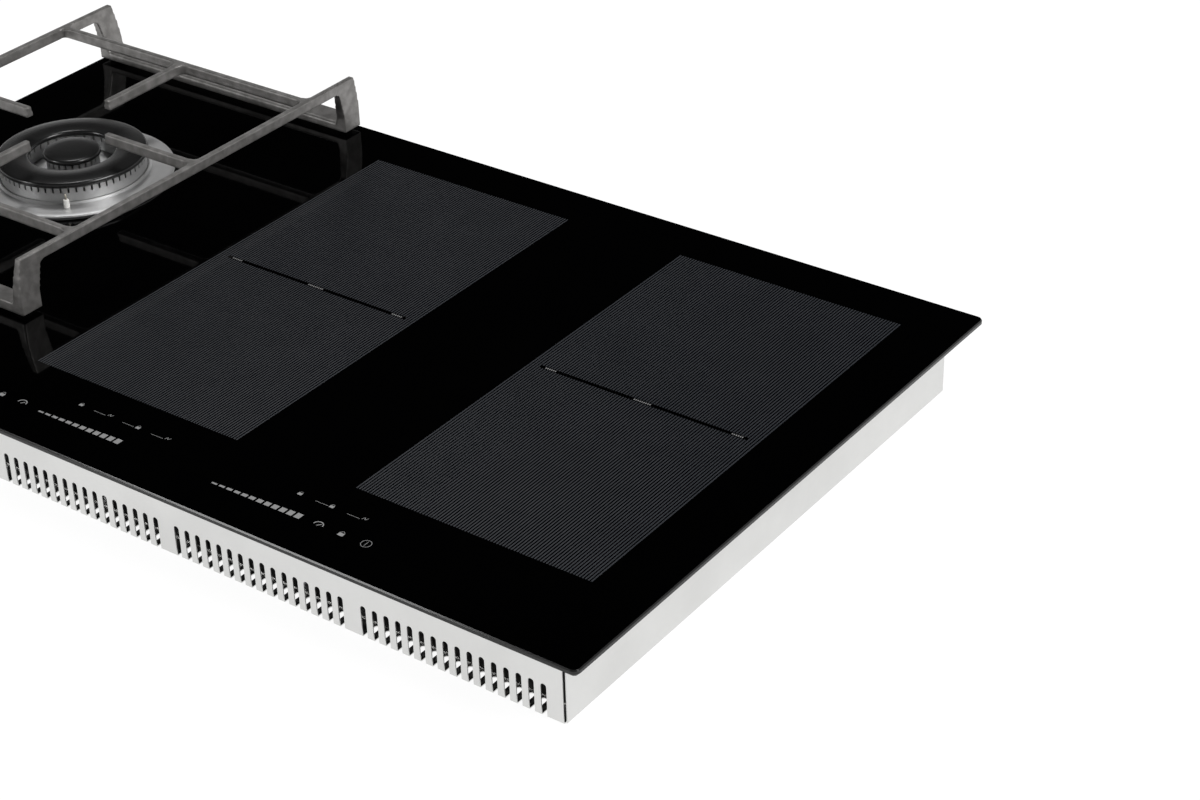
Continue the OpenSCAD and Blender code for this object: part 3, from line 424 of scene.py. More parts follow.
def arc(middle, radius, start, stop, steps=6):
    """Points of an arc, with angles in degrees."""
    return [spot(middle, radius, start + (stop - start) * i / steps) for i in range(steps + 1)]


def cut(piece, cutters):
    """Takes the cutters out of a piece."""
    for cutter in cutters:
        modify(piece, "BOOLEAN", operation="DIFFERENCE", solver="EXACT", object=cutter)
        bpy.data.objects.remove(cutter)
    return piece


print("starting shapes ready")


# %% Finishing a piece
def finish(piece, name, body, material, replaces=(), angle=35):
    """Names a piece, smooths it, gives it its finish and its body, and hides the CAD nodes it stands
    for.
    """
    only(piece)
    bpy.ops.object.shade_smooth_by_angle(angle=math.radians(angle))
    piece.name = name
    piece.data.name = name
    piece.data.materials.clear()
    piece.data.materials.append(material)
    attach(piece, body)
    if replaces:
        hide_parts(*replaces)
    print(name, len(piece.data.polygons), "faces")
    return piece


def surface(name, build, **constants):
    """A material: build returns what varies, and constants stay the same all over."""
    material = bpy.data.materials.new(name)
    material.use_nodes = True
    recipe = Recipe(material.node_tree)
    inputs = dict(constants)
    inputs.update(build(recipe))
    recipe.close(recipe.node("BsdfPrincipled", inputs))
    return material


print("finishing helpers ready")


# %% [markdown]
# ## Glass finish
# The top is a glass ceramic that is black all through, polished flat, with ground edges. A pure
# black mirror looks computer-made, so its roughness drifts a little, as wiped glass does. The
# ground edge is a separate finish: grinding leaves it dark grey and satin.

# %% Glass materials
def glass_face(recipe):
    wiped = recipe.noise(9, 4)
    return {"Base Color": recipe.mix(wiped, 0.0002, (0.0005, 0.0005, 0.0006)),
            "Roughness": 0.03 + wiped * 0.03}


def glass_ground_edge(recipe):
    grain = recipe.noise(2600, 2)
    drift = recipe.noise(60, 2)
    return {"Base Color": recipe.mix(drift, 0.010, 0.016),
            "Roughness": 0.14 + grain * 0.08,
            "Normal": recipe.bump(grain, 0.003 * MM)}


BLACK_GLASS = surface("black_glass", glass_face, **{"IOR": 1.5, "Specular IOR Level": 0.12})
GROUND_EDGE = surface("ground_glass_edge", glass_ground_edge,
                      **{"IOR": 1.52, "Specular IOR Level": 0.30})
print("glass finishes ready")


# %% [markdown]
# ## Glass top
# The sheet is cut with round corners, drilled for the burner and the knob's stem, and ground all
# round. It could be one bevelled cube with holes cut by booleans, and that is how it is made: the
# bevels follow the order of the real work, first the corners, then the long edges. The top arris
# is steeper than a plain bevel, so its lower ring of edges is moved down.

# %% Glass top
def box_of(node):
    """A CAD node's lowest corner, its highest, and its middle."""
    low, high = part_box(node)
    return low, high, (low + high) / 2


def make_glass():
    low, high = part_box("glass_top")
    corner_radius, top_arris, arris_drop, bottom_arris = 5 * MM, 0.75 * MM, 1.0 * MM, 0.6 * MM
    burner_hole, stem_hole, near = 75 * MM, 7 * MM, 0.01 * MM
    glass = block(low, high)
    edit(glass)
    pick(glass, "EDGE", lambda middle, along: abs(along.z) > 0.9)
    bevel(corner_radius, 10)
    done()
    below, above = low.z - 5 * MM, high.z + 5 * MM
    cut(glass, [rod(box_of("burner_base")[2], burner_hole, below, above, 128),
                rod(box_of("control_knob")[2], stem_hole, below, above, 48)])
    edit(glass)
    pick(glass, "EDGE", lambda middle, along: middle.z > high.z - near and abs(along.z) < 0.1)
    bevel(top_arris, 1)
    ring = high.z - top_arris
    pick(glass, "EDGE", lambda middle, along: abs(middle.z - ring) < near and abs(along.z) < 0.1)
    bpy.ops.transform.translate(value=(0, 0, top_arris - arris_drop))
    pick(glass, "EDGE", lambda middle, along: middle.z < low.z + near and abs(along.z) < 0.1)
    bevel(bottom_arris, 1)
    done()
    finish(glass, "glass_plate", "casing", BLACK_GLASS, ["glass_top"])
    glass.data.materials.append(GROUND_EDGE)
    for face in glass.data.polygons:
        face.material_index = 0 if abs(face.normal.z) > 0.999 else 1


make_glass()


# %% [markdown]
# ## Zone prints
# Each cooking zone is a field of thin enamel lines fired onto the glass, with a bare slot across
# its middle where the two coils meet. The lines could be a stripe pattern in the glass's material.
# Real strips are used instead, since the enamel does stand a few hundredths of a millimetre proud
# and its edges stay sharp from close by. One strip is modelled, and an array repeats it.

# %% Enamel materials
def zone_enamel(recipe):
    drift = recipe.noise(30, 3)
    return {"Base Color": recipe.mix(drift, (0.0125, 0.0145, 0.019), (0.016, 0.0185, 0.024)),
            "Roughness": 0.34 + drift * 0.1}


def mark_enamel(recipe):
    drift = recipe.noise(500, 2)
    return {"Base Color": recipe.mix(drift, 0.22, 0.28), "Roughness": 0.4 + drift * 0.1}


ZONE_ENAMEL = surface("zone_enamel", zone_enamel, IOR=1.5)
MARK_ENAMEL = surface("mark_enamel", mark_enamel, IOR=1.5)
print("enamel finishes ready")


# %% Zone prints
GLASS_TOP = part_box("glass_top")[1].z
PRINT_LOW = GLASS_TOP - 0.01 * MM
PRINT_HIGH = GLASS_TOP + 0.04 * MM
ZONE_GAP = 108 * MM
LINE_PITCH = 2.4 * MM
LINE_WIDTH = 1.25 * MM
SLOT_WIDTH = 3.6 * MM
SLOT_INSET = 4
SLOT_SHIFT = 1.0 * MM


def row(x, width, y_low, y_high, pitch, count):
    """A row of printed strips, of which the first starts at x."""
    strip = block((x, y_low, PRINT_LOW), (x + width, y_high, PRINT_HIGH))
    return modify(strip, "ARRAY", use_relative_offset=False, use_constant_offset=True,
                  constant_offset_displace=(pitch, 0, 0), count=count)


def lines(x, count, y_low, y_high):
    """Hatch lines that start at x and run from y_low to y_high."""
    return row(x, LINE_WIDTH, y_low, y_high, LINE_PITCH, count)


def ticks(x, y, count):
    """A short row of small marks, centred on a point."""
    pitch, width, height = 1.7 * MM, 0.8 * MM, 1.5 * MM
    start = x - (count - 1) * pitch / 2 - width / 2
    return row(start, width, y - height / 2, y + height / 2, pitch, count)


def make_zone(name, x_low, x_high, y_low, y_high):
    """Lines on both sides of the slot, and short ones past the slot's ends."""
    count = int((x_high - x_low - LINE_WIDTH) / LINE_PITCH) + 1
    slot_low = (y_low + y_high) / 2 - SLOT_WIDTH / 2 + SLOT_SHIFT
    slot_high = slot_low + SLOT_WIDTH
    rows = [lines(x_low, count, y_low, slot_low), lines(x_low, count, slot_high, y_high),
            lines(x_low, SLOT_INSET, slot_low, slot_high),
            lines(x_low + (count - SLOT_INSET) * LINE_PITCH, SLOT_INSET, slot_low, slot_high)]
    finish(join(rows), name + "_print", "casing", ZONE_ENAMEL)
    middle = (slot_low + slot_high) / 2
    end, few, many = 18.5 * MM, 6, 9
    marks = [ticks(x_low + end, middle, few), ticks((x_low + x_high) / 2, middle, many),
             ticks(x_high - end, middle, few)]
    finish(join(marks), name + "_marks", "casing", MARK_ENAMEL)


zone_low, zone_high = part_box("mica_sheets")
zone_width = (zone_high.x - zone_low.x - ZONE_GAP) / 2
make_zone("left_zone", zone_low.x, zone_low.x + zone_width, zone_low.y, zone_high.y)
make_zone("right_zone", zone_high.x - zone_width, zone_high.x, zone_low.y, zone_high.y)


# %% [markdown]
# ## Touch symbols
# Small generic signs along the front edge show where to touch: a ring with a stroke for the power,
# padlocks, waves, sliders of growing bars, and a dial with a hand. They are fired on like the
# zones. Each sign is built by one function from flat rings, tiles and strokes, once per place.

# %% Printed shapes
def ring(x, y, radius, width, sides=40):
    """A flat printed ring."""
    clear()
    bpy.ops.mesh.primitive_circle_add(vertices=sides, radius=radius, fill_type="NGON",
                                      location=(x, y, PRINT_LOW))
    piece = settle(bpy.context.active_object)
    edit(piece, "FACE")
    pick_all()
    bpy.ops.mesh.inset(thickness=width)
    bpy.ops.mesh.delete(type="FACE")
    pick_all()
    pull((0, 0, PRINT_HIGH - PRINT_LOW))
    close_up()
    return piece


def patch(points):
    """A flat printed shape with straight sides."""
    return plate([(x, y, PRINT_LOW) for x, y in points], (0, 0, PRINT_HIGH - PRINT_LOW))


def tile(x, y, width, height):
    """A flat printed rectangle with its first corner at a point."""
    return patch([(x, y), (x + width, y), (x + width, y + height), (x, y + height)])


def stroke(start, end, width):
    """A flat printed line between two points."""
    start, end = Vector(start), Vector(end)
    side = (end - start).orthogonal().normalized() * width / 2
    return patch([start + side, start - side, end - side, end + side])


def bow(x, y, radius, width):
    """The rear half of a ring."""
    piece = ring(x, y, radius, width)
    edit(piece)
    pick_all()
    bpy.ops.mesh.bisect(plane_co=(x, y, PRINT_LOW), plane_no=(0, 1, 0), clear_inner=True,
                        use_fill=True)
    done()
    return piece


print("printed shapes ready")


# %% Symbols
def power_sign(x, y):
    radius, reach, thin = 4 * MM, 2.6 * MM, 0.35 * MM
    return [ring(x, y, radius, thin), stroke((x, y - reach), (x, y + reach), thin)]


def lock_sign(x, y, size):
    body = tile(x - 0.5 * size, y - 0.55 * size, size, 0.70 * size)
    return [body, bow(x, y + 0.15 * size, 0.40 * size, 0.08 * size)]


def dial_sign(x, y):
    hand = stroke((x - 0.6 * MM, y - 1.8 * MM), (x + 1.8 * MM, y + 0.8 * MM), 0.7 * MM)
    return [bow(x, y - 1 * MM, 4.2 * MM, 0.8 * MM), hand]


def wave_sign(x, y):
    step = 1.3 * MM
    points = [(x - 1.5 * step, y - step), (x - 0.5 * step, y + step), (x + 0.5 * step, y - step),
              (x + 1.5 * step, y + step)]
    return [stroke(first, second, 0.4 * MM) for first, second in zip(points, points[1:])]


LOWER_ROW, UPPER_ROW = -0.2250, -0.2035
signs = []
for x, sign in ((0.2538, power_sign), (0.2126, dial_sign), (-0.0684, dial_sign)):
    signs += sign(x, LOWER_ROW)
for x in (0.2327, -0.0890):
    signs += lock_sign(x, LOWER_ROW, 4.6 * MM)
for x in (0.2062, 0.1780, 0.0260, -0.0300):
    signs += lock_sign(x, UPPER_ROW, 3.6 * MM)
for x in (0.2345, 0.0540, -0.0020):
    signs += wave_sign(x, UPPER_ROW + 0.6 * MM)
for x in (0.2256, 0.1980, 0.0450, 0.0170, -0.0110):
    y = UPPER_ROW - 1.3 * MM
    signs.append(stroke((x - 5.6 * MM, y), (x + 5.6 * MM, y), 0.3 * MM))
print(len(signs), "printed shapes")


# %% Sliders
def slider(x_low, x_high, y, count=12):
    """Bars of growing height between two ends, as a touch slider shows its levels."""
    pitch, low, shortest, growth = (x_high - x_low) / count, y - 2.8 * MM, 1.2 * MM, 4.4 * MM
    return [tile(x_low + i * pitch, low, 0.72 * pitch, shortest + growth * (i + 1) / count)
            for i in range(count)]


signs += slider(0.118, 0.199, LOWER_ROW)
signs += slider(-0.050, 0.031, LOWER_ROW)
finish(join(signs), "touch_symbols", "casing", MARK_ENAMEL)


# %% [markdown]
# ## Signs round the knob
# A gas knob has its own print: an open ring where the tap is shut, and dots that grow as the flame
# does. They could be numbers, but dots need no reading. They lie on a circle round the bezel, over
# the 210 degrees that the knob turns.

# %% Knob print
def make_knob_print():
    low, high, middle = box_of("knob_bezel")
    circle = (high.x - low.x) / 2 + 6 * MM
    dots, travel, first = 7, 210, 90
    places = arc(middle, circle, first, first + travel, dots)
    pieces = [ring(*places[0], 1.8 * MM, 0.45 * MM)]
    for i in range(1, dots + 1):
        pieces.append(rod(places[i], (0.5 + 0.14 * i) * MM, PRINT_LOW, PRINT_HIGH, 24))
    finish(join(pieces), "knob_print", "casing", MARK_ENAMEL)


make_knob_print()


# %% [markdown]
# ## Cast-iron finish
# The pan support is cast in sand, blasted, and burnt in with oil, so it has a satin sheen over a
# slightly pebbly skin. A dielectric black would stay black from all sides, while real iron picks
# up the room: bright where it faces the white floor, dark where it faces the glass. So the
# finish is a grey that is more than half metallic, with one noise for its colour and two for its
# grain.

# %% Iron material
def iron_skin(recipe):
    sand = recipe.noise(1100, 3)
    blast = recipe.noise(260, 3)
    lumps = recipe.noise(110, 5)
    return {"Base Color": recipe.mix(lumps.between(0.3, 0.7), (0.165, 0.16, 0.154),
                                     (0.26, 0.252, 0.245)),
            "Roughness": 0.34 + blast * 0.16,
            "Normal": recipe.bump(sand * 0.45 + blast, 0.12 * MM)}


CAST_IRON = surface("cast_iron", iron_skin, Metallic=0.6)
print("iron ready")


# %% [markdown]
# ## Pan support
# It is one casting: two side frames on tapered legs, base bars that join the legs, cross bars
# that carry the pans, and four fingers towards the flame. Every member is drafted, so that it
# leaves the mould, and every corner is filleted. Bevelling each edge by hand is possible but
# slow where members cross. Here each member is a plain drafted bar, a voxel remesh melts them
# into one skin, and a little smoothing gives the soft edges of a casting.

# %% Drafted members
LEG, RAIL = 20 * MM, 9 * MM
FRAME_BASE, FRAME_TOP = 11.4 * MM, 5 * MM
BASE_BAR, BASE_FALL = 9 * MM, 1.6 * MM


def draft(piece, axis, middle, low, high, share):
    """Narrows a piece evenly towards its top, by a share of its width."""
    for vertex in piece.data.vertices:
        height = (vertex.co.z - low) / (high - low)
        vertex.co[axis] = middle + (vertex.co[axis] - middle) * (1 - share * height)
    return piece


def side_outline(half, foot, top):
    """Half of a side frame from the side, as points along its depth and height."""
    corner, inner, lean = 2 * MM, 5 * MM, 4 * MM
    outer = [(half, foot), (half, foot + BASE_BAR + 8 * MM), (half - 1.4 * MM, foot + 30 * MM)]
    outer += arc((half - lean - corner, top - corner), corner, 8, 90)
    under = arc((half - LEG - lean - inner, top - RAIL - inner), inner, 90, 0)
    return outer, under + [(half - LEG, foot + BASE_BAR + 4 * MM), (half - LEG, foot)]


def side_frame(outside, way, half, foot, top):
    """A side frame with its outer face at outside, and its middle towards way, -1 or 1."""
    outer, inner = side_outline(half, foot, top)
    mirrored = [(-y, z) for y, z in outer[::-1] + inner[::-1]]
    points = [(outside, y, z) for y, z in outer + mirrored + inner]
    piece = plate(points, (way * FRAME_BASE, 0, 0))
    return draft(piece, 0, outside, foot, top, 1 - FRAME_TOP / FRAME_BASE)


def base_bar(half_w, inner_y, outer_y, foot):
    """A bar between two legs, whose top falls towards the support's middle to a round edge."""
    soft, way = 3 * MM, -1 if outer_y < inner_y else 1
    points = [(inner_y, foot), (outer_y, foot), (outer_y, foot + BASE_BAR)]
    edge = (inner_y + way * soft, foot + BASE_BAR - BASE_FALL - soft)
    points += arc(edge, soft, 90, 90 + way * 90)
    return plate([(-half_w, y, z) for y, z in points], (2 * half_w, 0, 0))


def bar(low, high, axis):
    """A bar with its sides drafted along one axis."""
    share = 0.3
    return draft(block(low, high), axis, (low[axis] + high[axis]) / 2, low[2], high[2], share)


def fillet(x, y, turn_x, turn_y, radius, low, high):
    """A hollow corner piece between two bars that meet at a right angle."""
    curve = arc((radius, radius), radius, 270, 180, 8)
    points = [(x, y, low)] + [(x + turn_x * a, y + turn_y * b, low) for a, b in curve]
    return plate(points, (0, 0, high - low))


print("member helpers ready")


# %% Pan support
def make_pan_support():
    low, high, centre = box_of("pan_support")
    half_w, half_d = (high.x - low.x) / 2, (high.y - low.y) / 2
    foot, top = low.z, high.z
    side, finger, radius, voxel = 3.5 * MM, 45 * MM, 5 * MM, 1.0 * MM
    reach = half_w - FRAME_TOP
    into = reach + MM
    cross_y = half_d - 62 * MM
    bar_low = top - RAIL
    parts = []
    for s in (-1, 1):
        y_low, y_high = sorted((s * finger, s * cross_y))
        x_low, x_high = sorted((s * finger, s * into))
        parts += [side_frame(s * half_w, -s, half_d, foot, top),
                  bar((-into, s * cross_y - side, bar_low), (into, s * cross_y + side, top), 1),
                  bar((-side, y_low, bar_low), (side, y_high, top), 0),
                  bar((x_low, -side, bar_low), (x_high, side, top), 1),
                  base_bar(reach, s * (half_d - LEG), s * half_d, foot)]
        for t in (-1, 1):
            fillets = ((s * reach, t * side, -s, t), (s * reach, t * (cross_y + side), -s, t),
                       (s * reach, t * (cross_y - side), -s, -t),
                       (s * side, t * (cross_y - side), s, -t))
            parts += [fillet(*places, radius, bar_low, top - 0.4 * MM) for places in fillets]
    support = join(parts)
    modify(support, "REMESH", mode="VOXEL", voxel_size=voxel)
    modify(support, "SMOOTH", factor=0.5, iterations=3)
    support.location = (centre.x, centre.y, 0)
    settle(support)
    finish(support, "pan_support_casting", "pan_support", CAST_IRON, ["pan_support"], 60)


make_pan_support()


# %% [markdown]
# ## Plain finishes
# Most of the other pieces have one of a few kinds of surface: moulded plastic, rubber, cast or
# turned metal, paint, ceramic. Each differs in colour, gloss and grain, but the recipe is the
# same: a slow drift of the colour, a faster drift of the gloss, and a fine grain in the normal.
# One function writes that recipe, and each finish is one row of a table: its name, two colours,
# two roughnesses, the grain's waves to the metre and its depth in millimetres, how metallic it
# is, and the CAD pieces that wear it.

# %% Finish recipe
def plain_finish(name, dark, light, gloss, grain, depth, metallic):
    """A finish that drifts between two colours and two roughnesses, with a fine grain."""
    def build(recipe):
        drift = recipe.noise(24, 4)
        fine = recipe.noise(grain, 2)
        return {"Base Color": recipe.mix(drift.between(0.3, 0.7), dark, light),
                "Roughness": gloss[0] + fine * (gloss[1] - gloss[0]),
                "Normal": recipe.bump(fine, depth * MM)}

    return surface(name, build, Metallic=metallic)


def dress(material, wearers):
    """Gives CAD nodes a finish."""
    for name in wearers.split():
        data = nodes[name].data
        if not data.materials:
            data.materials.append(material)
        for i in range(len(data.materials)):
            data.materials[i] = material
    print(material.name, "on", wearers or "new pieces")


PLAIN = {}


def plain_finishes(*rows):
    """Makes the finishes of a table and puts them on the CAD pieces named there."""
    for name, dark, light, gloss, grain, depth, metallic, wearers in rows:
        PLAIN[name] = plain_finish(name, dark, light, gloss, grain, depth, metallic)
        dress(PLAIN[name], wearers)


# %% Rubber, foam, plastic and ceramic
plain_finishes(
    ("foot_rubber", 0.010, 0.018, (0.6, 0.85), 1800, 0.02, 0, "knob_seal"),
    ("seal_foam", 0.012, 0.022, (0.85, 1.0), 1400, 0.15, 0, "glass_seal"),
    ("silicone_bead", 0.014, 0.020, (0.35, 0.5), 300, 0.05, 0, "glass_bond"),
    ("fibre_gasket", 0.045, 0.08, (0.85, 1.0), 900, 0.08, 0, "burner_gasket"),
    ("black_plastic", (0.016, 0.018, 0.02), (0.024, 0.026, 0.028), (0.42, 0.6), 1500, 0.02, 0,
     "ignition_ring ignition_switch touch_board_carrier terminal_cover "
     "fan_housing_left fan_housing_right fan_rotor_left fan_rotor_right"),
    ("cream_plastic", (0.66, 0.62, 0.52), (0.74, 0.70, 0.60), (0.4, 0.55), 900, 0.02, 0,
     "ignition_module coil_carriers terminal_block"),
    ("white_nylon", (0.72, 0.72, 0.69), (0.80, 0.80, 0.77), (0.35, 0.5), 700, 0.02, 0,
     "board_standoffs coil_sensors"),
    ("touch_foam", (0.07, 0.072, 0.075), (0.10, 0.102, 0.105), (0.8, 1.0), 1500, 0.1, 0, "touch_pads"),
    ("red_silicone", (0.42, 0.035, 0.025), (0.50, 0.05, 0.035), (0.35, 0.5), 600, 0.02, 0,
     "ignition_lead"),
    ("ferrite", (0.035, 0.035, 0.04), (0.06, 0.06, 0.065), (0.4, 0.6), 900, 0.03, 0, "ferrite_bars"),
    ("board_parts", (0.05, 0.055, 0.06), (0.11, 0.115, 0.12), (0.35, 0.55), 800, 0.02, 0,
     "board_components"),
    ("glazed_ceramic", (0.74, 0.73, 0.69), (0.82, 0.81, 0.78), (0.12, 0.22), 300, 0.01, 0, ""),
    ("pointer_paint", 0.62, 0.70, (0.35, 0.5), 900, 0.01, 0, ""))


# %% Metals
plain_finishes(
    ("turned_brass", (0.60, 0.43, 0.17), (0.70, 0.52, 0.23), (0.24, 0.4), 700, 0.01, 1,
     "injectors valve_stem pipe_nuts"),
    ("die_cast_alloy", (0.42, 0.42, 0.41), (0.52, 0.52, 0.51), (0.42, 0.6), 800, 0.05, 1,
     "gas_valve injector_holders"),
    ("sensor_steel", (0.42, 0.38, 0.30), (0.52, 0.49, 0.42), (0.25, 0.4), 900, 0.01, 1, "flame_sensor"),
    ("drawn_pipe", (0.60, 0.61, 0.62), (0.70, 0.71, 0.72), (0.25, 0.42), 500, 0.01, 1,
     "supply_pipe burner_pipes"),
    ("rolled_alloy", (0.62, 0.63, 0.64), (0.72, 0.73, 0.74), (0.32, 0.5), 600, 0.01, 1,
     "coil_plates coil_plate_posts"),
    ("extruded_alloy", (0.55, 0.56, 0.57), (0.66, 0.67, 0.68), (0.35, 0.55), 900, 0.02, 1, "heat_sinks"),
    ("blasted_alloy", 0.50, 0.60, (0.38, 0.55), 1300, 0.03, 1, ""),
    ("zinc_screw", (0.46, 0.46, 0.47), (0.56, 0.56, 0.57), (0.25, 0.42), 900, 0.01, 1, ""))


# %% [markdown]
# ## Sheet steel
# The casing is galvanised sheet, bent and punched. Near to, it is a pale satin metal with a fine
# grain from rolling, which runs along each panel, and faint cloudy patches of zinc. The colour
# hardly changes, so the gloss has to: it drifts with the clouds, and the grain is a stretched
# noise in the normal.

# %% Sheet material
def sheet_skin(recipe):
    clouds = recipe.noise(14, 5)
    rolled = recipe.noise(420, 2, recipe.place((0.06, 0.06, 1)))
    spangle = recipe.cells(160)
    return {"Base Color": recipe.mix(clouds.between(0.25, 0.75), (0.67, 0.67, 0.66),
                                     (0.73, 0.73, 0.72)),
            "Roughness": 0.40 + clouds * 0.06 + spangle * 0.05,
            "Normal": recipe.bump(rolled, 0.008 * MM)}


SHEET_STEEL = surface("sheet_steel", sheet_skin, Metallic=1.0)
dress(SHEET_STEEL, "front_panel back_panel left_side_panel right_side_panel bottom_plate "
      "divider_wall burner_bracket valve_bracket")


# %% [markdown]
# ## Windings, mica and boards
# Under the glass lie the coils. Their wire is a litz rope that is wound flat, so the copper shows
# rings with a slanting twist. Over them lie mica sheets, pressed from flakes. The boards are
# green solder resist over copper tracks. All this is seen only through the slots, so a pattern
# in the colour and the normal is enough.

# %% Copper, mica and board materials
def litz_skin(recipe):
    twist = recipe.noise(900, 2, recipe.place((1, 0.25, 1), (0, 0, 0.6)))
    heat = recipe.noise(20, 3)
    return {"Base Color": recipe.mix(heat, (0.62, 0.27, 0.13), (0.74, 0.36, 0.19)),
            "Roughness": 0.3 + twist * 0.25,
            "Normal": recipe.bump(twist, 0.12 * MM)}


def mica_skin(recipe):
    flakes = recipe.cells(90)
    return {"Base Color": recipe.mix(flakes.between(0.1, 0.7), (0.42, 0.34, 0.22), (0.60, 0.52, 0.38)),
            "Roughness": 0.25 + flakes * 0.3,
            "Normal": recipe.bump(flakes, 0.02 * MM)}


def board_skin(recipe):
    tracks = recipe.cells(260, recipe.place((1, 0.2, 1)))
    raised = tracks.between(0.35, 0.42)
    return {"Base Color": recipe.mix(raised, (0.006, 0.055, 0.025), (0.012, 0.10, 0.045)),
            "Roughness": 0.25 + raised * 0.15,
            "Normal": recipe.bump(raised, 0.04 * MM)}


dress(surface("litz_copper", litz_skin, Metallic=0.9),
      "coil_left_front coil_left_rear coil_right_front coil_right_rear")
dress(surface("pressed_mica", mica_skin), "mica_sheets")
dress(surface("circuit_board", board_skin), "power_boards touch_board")


# %% [markdown]
# ## Feet of the pan support
# Each leg stands on a small rubber foot that keeps iron off the glass. It is a turned shape with
# a soft rim, so it is drawn as a profile and spun.

# %% Feet
def make_feet():
    low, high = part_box("pan_support_feet")
    radius = 6.5
    foot, seat, pin = low.z / MM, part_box("pan_support")[0].z / MM, high.z / MM
    profile = [(0, foot), (radius - 1.4, foot)]
    profile += arc((radius - 1.4, foot + 1.2), 1.2, -90, 0, 4)
    profile += [(radius - 0.2, foot + 1.3), (radius, seat - 0.3), (radius - 0.4, seat), (2.4, seat),
                (2.4, pin), (0, pin)]
    feet = [lathe(profile, (x, y), 32) for x in (low.x + radius * MM, high.x - radius * MM)
            for y in (low.y + radius * MM, high.y - radius * MM)]
    finish(join(feet), "support_feet", "pan_support", PLAIN["foot_rubber"],
           ["pan_support_feet"])


make_feet()


# %% [markdown]
# ## Cap enamel
# The burner's pan and flame rings are pressure-cast aluminium, blasted to an even satin, which the
# table above has. The caps are stamped steel under black vitreous enamel. It could be a plain
# gloss black, but enamel is slightly wavy like orange peel, so a noise bends its normal.

# %% Cap enamel
def enamel_skin(recipe):
    peel = recipe.noise(260, 2)
    dust = recipe.noise(1500, 2)
    return {"Base Color": recipe.mix(dust, 0.007, 0.012),
            "Roughness": 0.20 + dust * 0.08,
            "Normal": recipe.bump(peel, 0.03 * MM)}


CAP_ENAMEL = surface("cap_enamel", enamel_skin, IOR=1.52)
print("cap enamel ready")


# %% [markdown]
# ## Burner
# A double-ring burner comes apart in four pieces: a pan that is fixed to the glass, a flame
# spreader that drops into it, and two caps that lie on the spreader. All are round, so each is a
# spun profile. The flame ports are slots that a copy of one cutter, spun round the ring, takes
# out of the wall.

# %% Burner pan
def around(piece, count, centre):
    """Repeats a piece evenly round a centre."""
    edit(piece)
    pick_all()
    turn = 2 * math.pi * (count - 1) / count
    bpy.ops.mesh.spin(steps=count - 1, dupli=True, angle=turn, center=(*centre, 0), axis=(0, 0, 1))
    done()
    return piece


def section(inner, outer, low, high):
    """The closed profile of a plain tube."""
    return [(inner, low), (outer, low), (outer, high), (inner, high), (inner, low)]


def at(centre, x, y, z):
    """A point in metres, from millimetres beside a centre."""
    return centre[0] + x * MM, centre[1] + y * MM, z * MM


burner_low, burner_high, burner_middle = box_of("burner_base")
BURNER = tuple(burner_middle.xy)
PLATE_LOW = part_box("burner_gasket")[1].z / MM
SPREADER_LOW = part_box("flame_spreader")[0].z / MM
STUDS = [spot(BURNER, 55 * MM, degrees) for degrees in (90, 210, 330)]


def make_burner_pan():
    rim, top = 84, SPREADER_LOW - 0.05
    locate_in, locate_out = 61.5, 63.2
    under, into = 30, PLATE_LOW + 0.5
    lip = burner_high.z / MM
    pan = [(0, PLATE_LOW), (rim - 1, PLATE_LOW)] + arc((rim - 1.3, PLATE_LOW + 1.3), 1.3, -60, 80, 6)
    pan += [(rim - 5, top - 0.1), (locate_out + 6, top - 0.5), (locate_out + 1.2, top)]
    pan += [(locate_out, lip - 0.4), (locate_out - 0.4, lip), (locate_in + 0.3, lip),
            (locate_in, lip - 0.3), (locate_in, top), (0, top)]
    throat = section(7, 11, under, into)
    parts = [lathe(pan, BURNER, 128), lathe(section(70, 73, under, into), BURNER),
             lathe(throat, BURNER, 32), lathe(throat, spot(BURNER, 49.5 * MM, 150), 32)]
    parts += [rod(stud, 5 * MM, burner_low.z, into * MM, 24) for stud in STUDS]
    finish(join(parts), "burner_pan", "casing", PLAIN["blasted_alloy"],
           ["burner_base"])


make_burner_pan()


# %% Flame spreader
def ported_ring(inner, outer, top, count, inside=False):
    """A spun ring with a row of flame ports cut through it, and its foot broken on one side."""
    low, soft, port, deep, past = SPREADER_LOW, 0.5, 0.8, 5, 1
    rim = [(outer, top - soft), (outer - soft, top), (inner + soft, top), (inner, top - soft)]
    foot_out = [(inner, low), (outer - 1, low), (outer, low + 1)]
    foot_in = [(inner + 1, low), (outer, low)]
    profile = foot_in + rim + [(inner, low + 1)] if inside else foot_out + rim
    cutter = block(at(BURNER, inner - past, -port, top - deep), at(BURNER, outer + past, port, top + 2))
    return cut(lathe(profile + profile[:1], BURNER, 120), [around(cutter, count, BURNER)])


def make_spreader():
    low = SPREADER_LOW
    top, centre_top = low + 14, low + 15
    parts = [ported_ring(58, 61, top, 60), ported_ring(38, 41, top, 30, inside=True),
             ported_ring(19, 22, centre_top, 24), lathe(section(40, 59, low, low + 2), BURNER),
             lathe([(0, low), (20, low), (20, low + 2), (0, low + 2)], BURNER, 48)]
    arm = block(at(BURNER, 21, -4.5, low), at(BURNER, 39, 4.5, low + 5))
    edit(arm)
    pick(arm, "EDGE", lambda middle, along: middle.z > (low + 4.9) * MM and abs(along.x) > 0.9)
    bevel(1.2 * MM, 3)
    pick_all()
    bpy.ops.transform.rotate(value=math.radians(-30), orient_axis="Z", center_override=(*BURNER, 0))
    done()
    parts.append(around(arm, 3, BURNER))
    finish(join(parts), "flame_rings", "flame_spreader", PLAIN["blasted_alloy"],
           ["flame_spreader"])


make_spreader()


